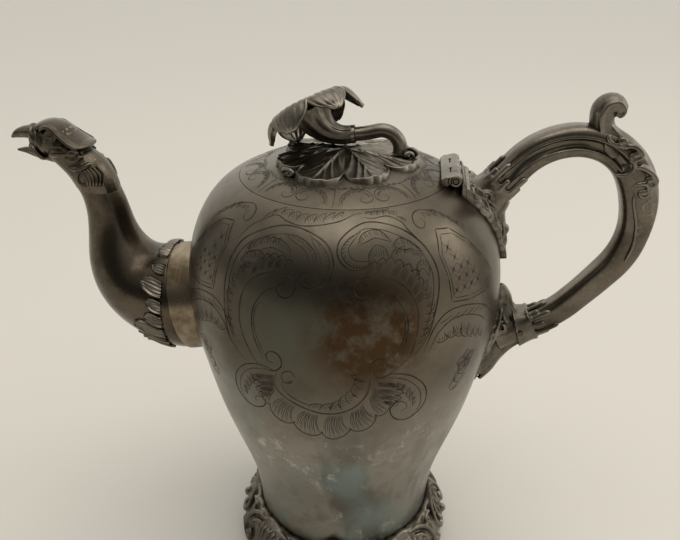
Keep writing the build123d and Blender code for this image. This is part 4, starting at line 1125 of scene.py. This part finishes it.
def foot():
    """The cast foot: the skirt with mirrored scrolls, ribs and beads in each quarter."""
    parts = [foot_skirt()]
    for quarter in range(4):
        middle = 90 * quarter
        for side in (1, -1):

            def place(points, lift=0.7):
                points = np.array(points, float)
                return on_foot(middle + side * points[:, 0], points[:, 1], lift)

            for radius, points in FOOT_SCROLLS:
                parts.append(tube(place(points), radius, up=(0, 0, 1)))
            for k in range(5):
                rib = [(45 - 0.8 * k, 6.4), (44.5 - 2.4 * k, 12), (43.8 - 3.3 * k, 18.2 - 0.5 * k)]
                parts.append(tube(place(rib, 0.5), 0.95, up=(0, 0, 1)))
            for point, radius in (((8.9, 10.6), 1.6), ((29.4, 6.8), 1.7)):
                parts.append(ball(place([point])[0], (radius, radius, radius)))
        parts.append(tube(on_foot(np.full(4, middle), np.array([8, 14, 21, 27.0]), 0.8), 1.15, up=(0.1, 0.1,
                1)))
        parts.append(ball(on_foot(middle, np.array(9.0), 0.6), (2.2, 2.2, 2.6)))
        parts.append(ball(on_foot(middle + 45, np.array(3.2), 0.2), (2.6, 2.6, 3.1)))
    crests, scrolls = (f"foot_crest_{k}" for k in range(1, 5)), (f"foot_scroll_{k}" for k in range(1, 9))
    piece = mesh_piece("foot_casting", join_meshes(parts), CAST, replaces=("foot_ring", *crests, *scrolls))
    cast_surface(piece, FOOT_VOXEL)


foot()

# ---------------------------------------------------------------- hinge

HINGE_AXIS = (46.6, 200.4)
HINGE_END = 15.3
LID_KNUCKLES = ((-HINGE_END, -9.3), (-3.0, 3.0), (9.3, HINGE_END))
BODY_KNUCKLES = ((-9.1, -3.2), (3.2, 9.1))
KNUCKLE_RADIUS, PIN_HOLE_RADIUS = 2.45, 1.45


def bar(section, low_y=-HINGE_END, high_y=HINGE_END, hole=None):
    """A bar along Y with a flat (x, z) section, and with a hole through it if a second outline is given."""
    bevel = 0.22
    outline = np.array(section, float)
    centre = outline.mean(0)
    rows = []
    for y, inset in ((low_y, bevel), (low_y + bevel, 0), (high_y - bevel, 0), (high_y, bevel)):
        size = 1 - inset / np.linalg.norm(outline - centre, axis=1).mean()
        rows.append([(x, y, z) for x, z in centre + (outline - centre) * size])
    if hole is None:
        return np.array(rows).reshape(-1, 3), capped_faces(4, len(outline))
    rows += [[(x, y, z) for x, z in hole] for y in (high_y, low_y)]
    return np.array(rows).reshape(-1, 3), grid_faces(6, len(outline), close_rows=True, close_columns=True)


def rounded(points):
    """A smooth closed outline through points."""
    return smooth_line([*points, points[0]], 45)[:-1]


def knuckle(low_y, high_y):
    """A barrel round the hinge pin."""
    ring = np.stack([np.cos(full_turn(36)), np.sin(full_turn(36))], 1)
    return bar(HINGE_AXIS + ring * KNUCKLE_RADIUS, low_y, high_y, HINGE_AXIS + ring * PIN_HOLE_RADIUS)


def hinge():
    """The lid's plate and knuckles, and the body's plate, rib and knuckles."""
    lid_side = [bar([(40.4, 198.2), (40.8, 200.9), (42.4, 202.1), (44.3, 202.0), (43.85, 200.4),
                     (44.2, 198.9), (43.4, 198.0)])]
    for low_y, high_y in LID_KNUCKLES:
        lid_side.append(knuckle(low_y, high_y))
        lid_side.append(bar([(43.2, 199.0), (43.2, 202.0), (44.8, 202.5), (46.2, 202.8), (45.4, 201.8),
                (44.9, 200.4), (45.2, 199.0)], low_y, high_y))
    body_side = [bar([(49.5, 191.5), (49.35, 199.4), (50.0, 199.7), (50.7, 198.6), (51.4, 196.8),
                      (51.4, 191.0)]), bar(rounded([(51.3, 190.5), (51.0, 196.6), (52.0, 197.2),
            (53.2, 196.4), (54.2, 194), (54.4, 190)]))]
    for low_y, high_y in BODY_KNUCKLES:
        body_side.append(knuckle(low_y, high_y))
        body_side.append(bar([(46.6, 198.9), (48.5, 200.3), (50.0, 199.4), (50.0, 194), (46.8, 195.4)], low_y,
                high_y))
    mesh_piece("hinge_lid_barrel", join_meshes(lid_side), HINGE, "lid", replaces=("hinge_lid_leaf",),
               smooth=False)
    mesh_piece("hinge_body_barrel", join_meshes(body_side), HINGE, replaces=("hinge_body_leaf", "hinge_rib"),
               smooth=False)


hinge()

# ---------------------------------------------------------------- floor, light and camera

floor_data = bpy.data.meshes.new("floor")
floor_data.from_pydata([(-4, -4, 0), (4, -4, 0), (4, 4, 0), (-4, 4, 0)], [], [(0, 1, 2, 3)])
floor_material = bpy.data.materials.new("pale_floor")
floor_material.use_nodes = True
floor_inputs = floor_material.node_tree.nodes["Principled BSDF"].inputs
floor_inputs["Base Color"].default_value = (0.72, 0.69, 0.635, 1)
floor_inputs["Roughness"].default_value = 0.6
floor_data.materials.append(floor_material)
floor = bpy.data.objects.new("floor", floor_data)
bpy.context.scene.collection.objects.link(floor)


def area_light(name, place, aim, size, power, colour):
    data = bpy.data.lights.new(name, "AREA")
    data.shape = "RECTANGLE"
    data.size, data.size_y = size
    data.energy = power
    data.color = colour
    light = bpy.data.objects.new(name, data)
    light.location = place
    light.rotation_mode = "QUATERNION"
    light.rotation_quaternion = (Vector(aim) - Vector(place)).to_track_quat("-Z", "Y")
    bpy.context.scene.collection.objects.link(light)


area_light("ceiling", (0.1, -0.15, 1.5), (0, 0, 0.1), (1.3, 0.9), 5, (1.0, 0.97, 0.92))
area_light("window", (-1.3, -0.5, 0.8), (0, 0, 0.12), (0.7, 0.9), 0.8, (0.93, 0.96, 1.0))
area_light("side", (1.3, 0.2, 0.7), (0, 0, 0.12), (0.6, 0.8), 2.2, (1.0, 0.96, 0.9))

world = bpy.data.worlds.new("room")
world.use_nodes = True
# The room is dim behind the camera and to the left, and bright above and behind the pot.
room = Nodes(world.node_tree, "Generated")
facing = room.add("VectorMath", {0: room.coord, 1: (0.30, 0.75, 0.58)},
                  operation="DOT_PRODUCT").outputs["Value"]
room_inputs = world.node_tree.nodes["Background"].inputs
room_inputs["Color"].default_value = (0.66, 0.64, 0.595, 1)
world.node_tree.links.new(room.remap(facing, 0.10, 1.64, -0.45, 0.75), room_inputs["Strength"])
bpy.context.scene.world = world
bpy.context.scene.view_settings.view_transform = "Standard"

CAMERA_PLACE = (0.0305, -0.2861, 0.2955)
CAMERA_TURN = math.radians(6.5)
CAMERA_DOWN = math.radians(26.77)
camera_data = bpy.data.cameras.new("camera")
camera_data.sensor_width = 36
camera_data.lens = 36 * 700 / 680
camera_data.clip_start = 0.01
camera = bpy.data.objects.new("camera", camera_data)
camera.location = CAMERA_PLACE
camera.rotation_mode = "QUATERNION"
look = Vector((-math.sin(CAMERA_TURN) * math.cos(CAMERA_DOWN), math.cos(CAMERA_TURN) * math.cos(CAMERA_DOWN),
               -math.sin(CAMERA_DOWN)))
camera.rotation_quaternion = look.to_track_quat("-Z", "Y")
bpy.context.scene.collection.objects.link(camera)
bpy.context.scene.camera = camera
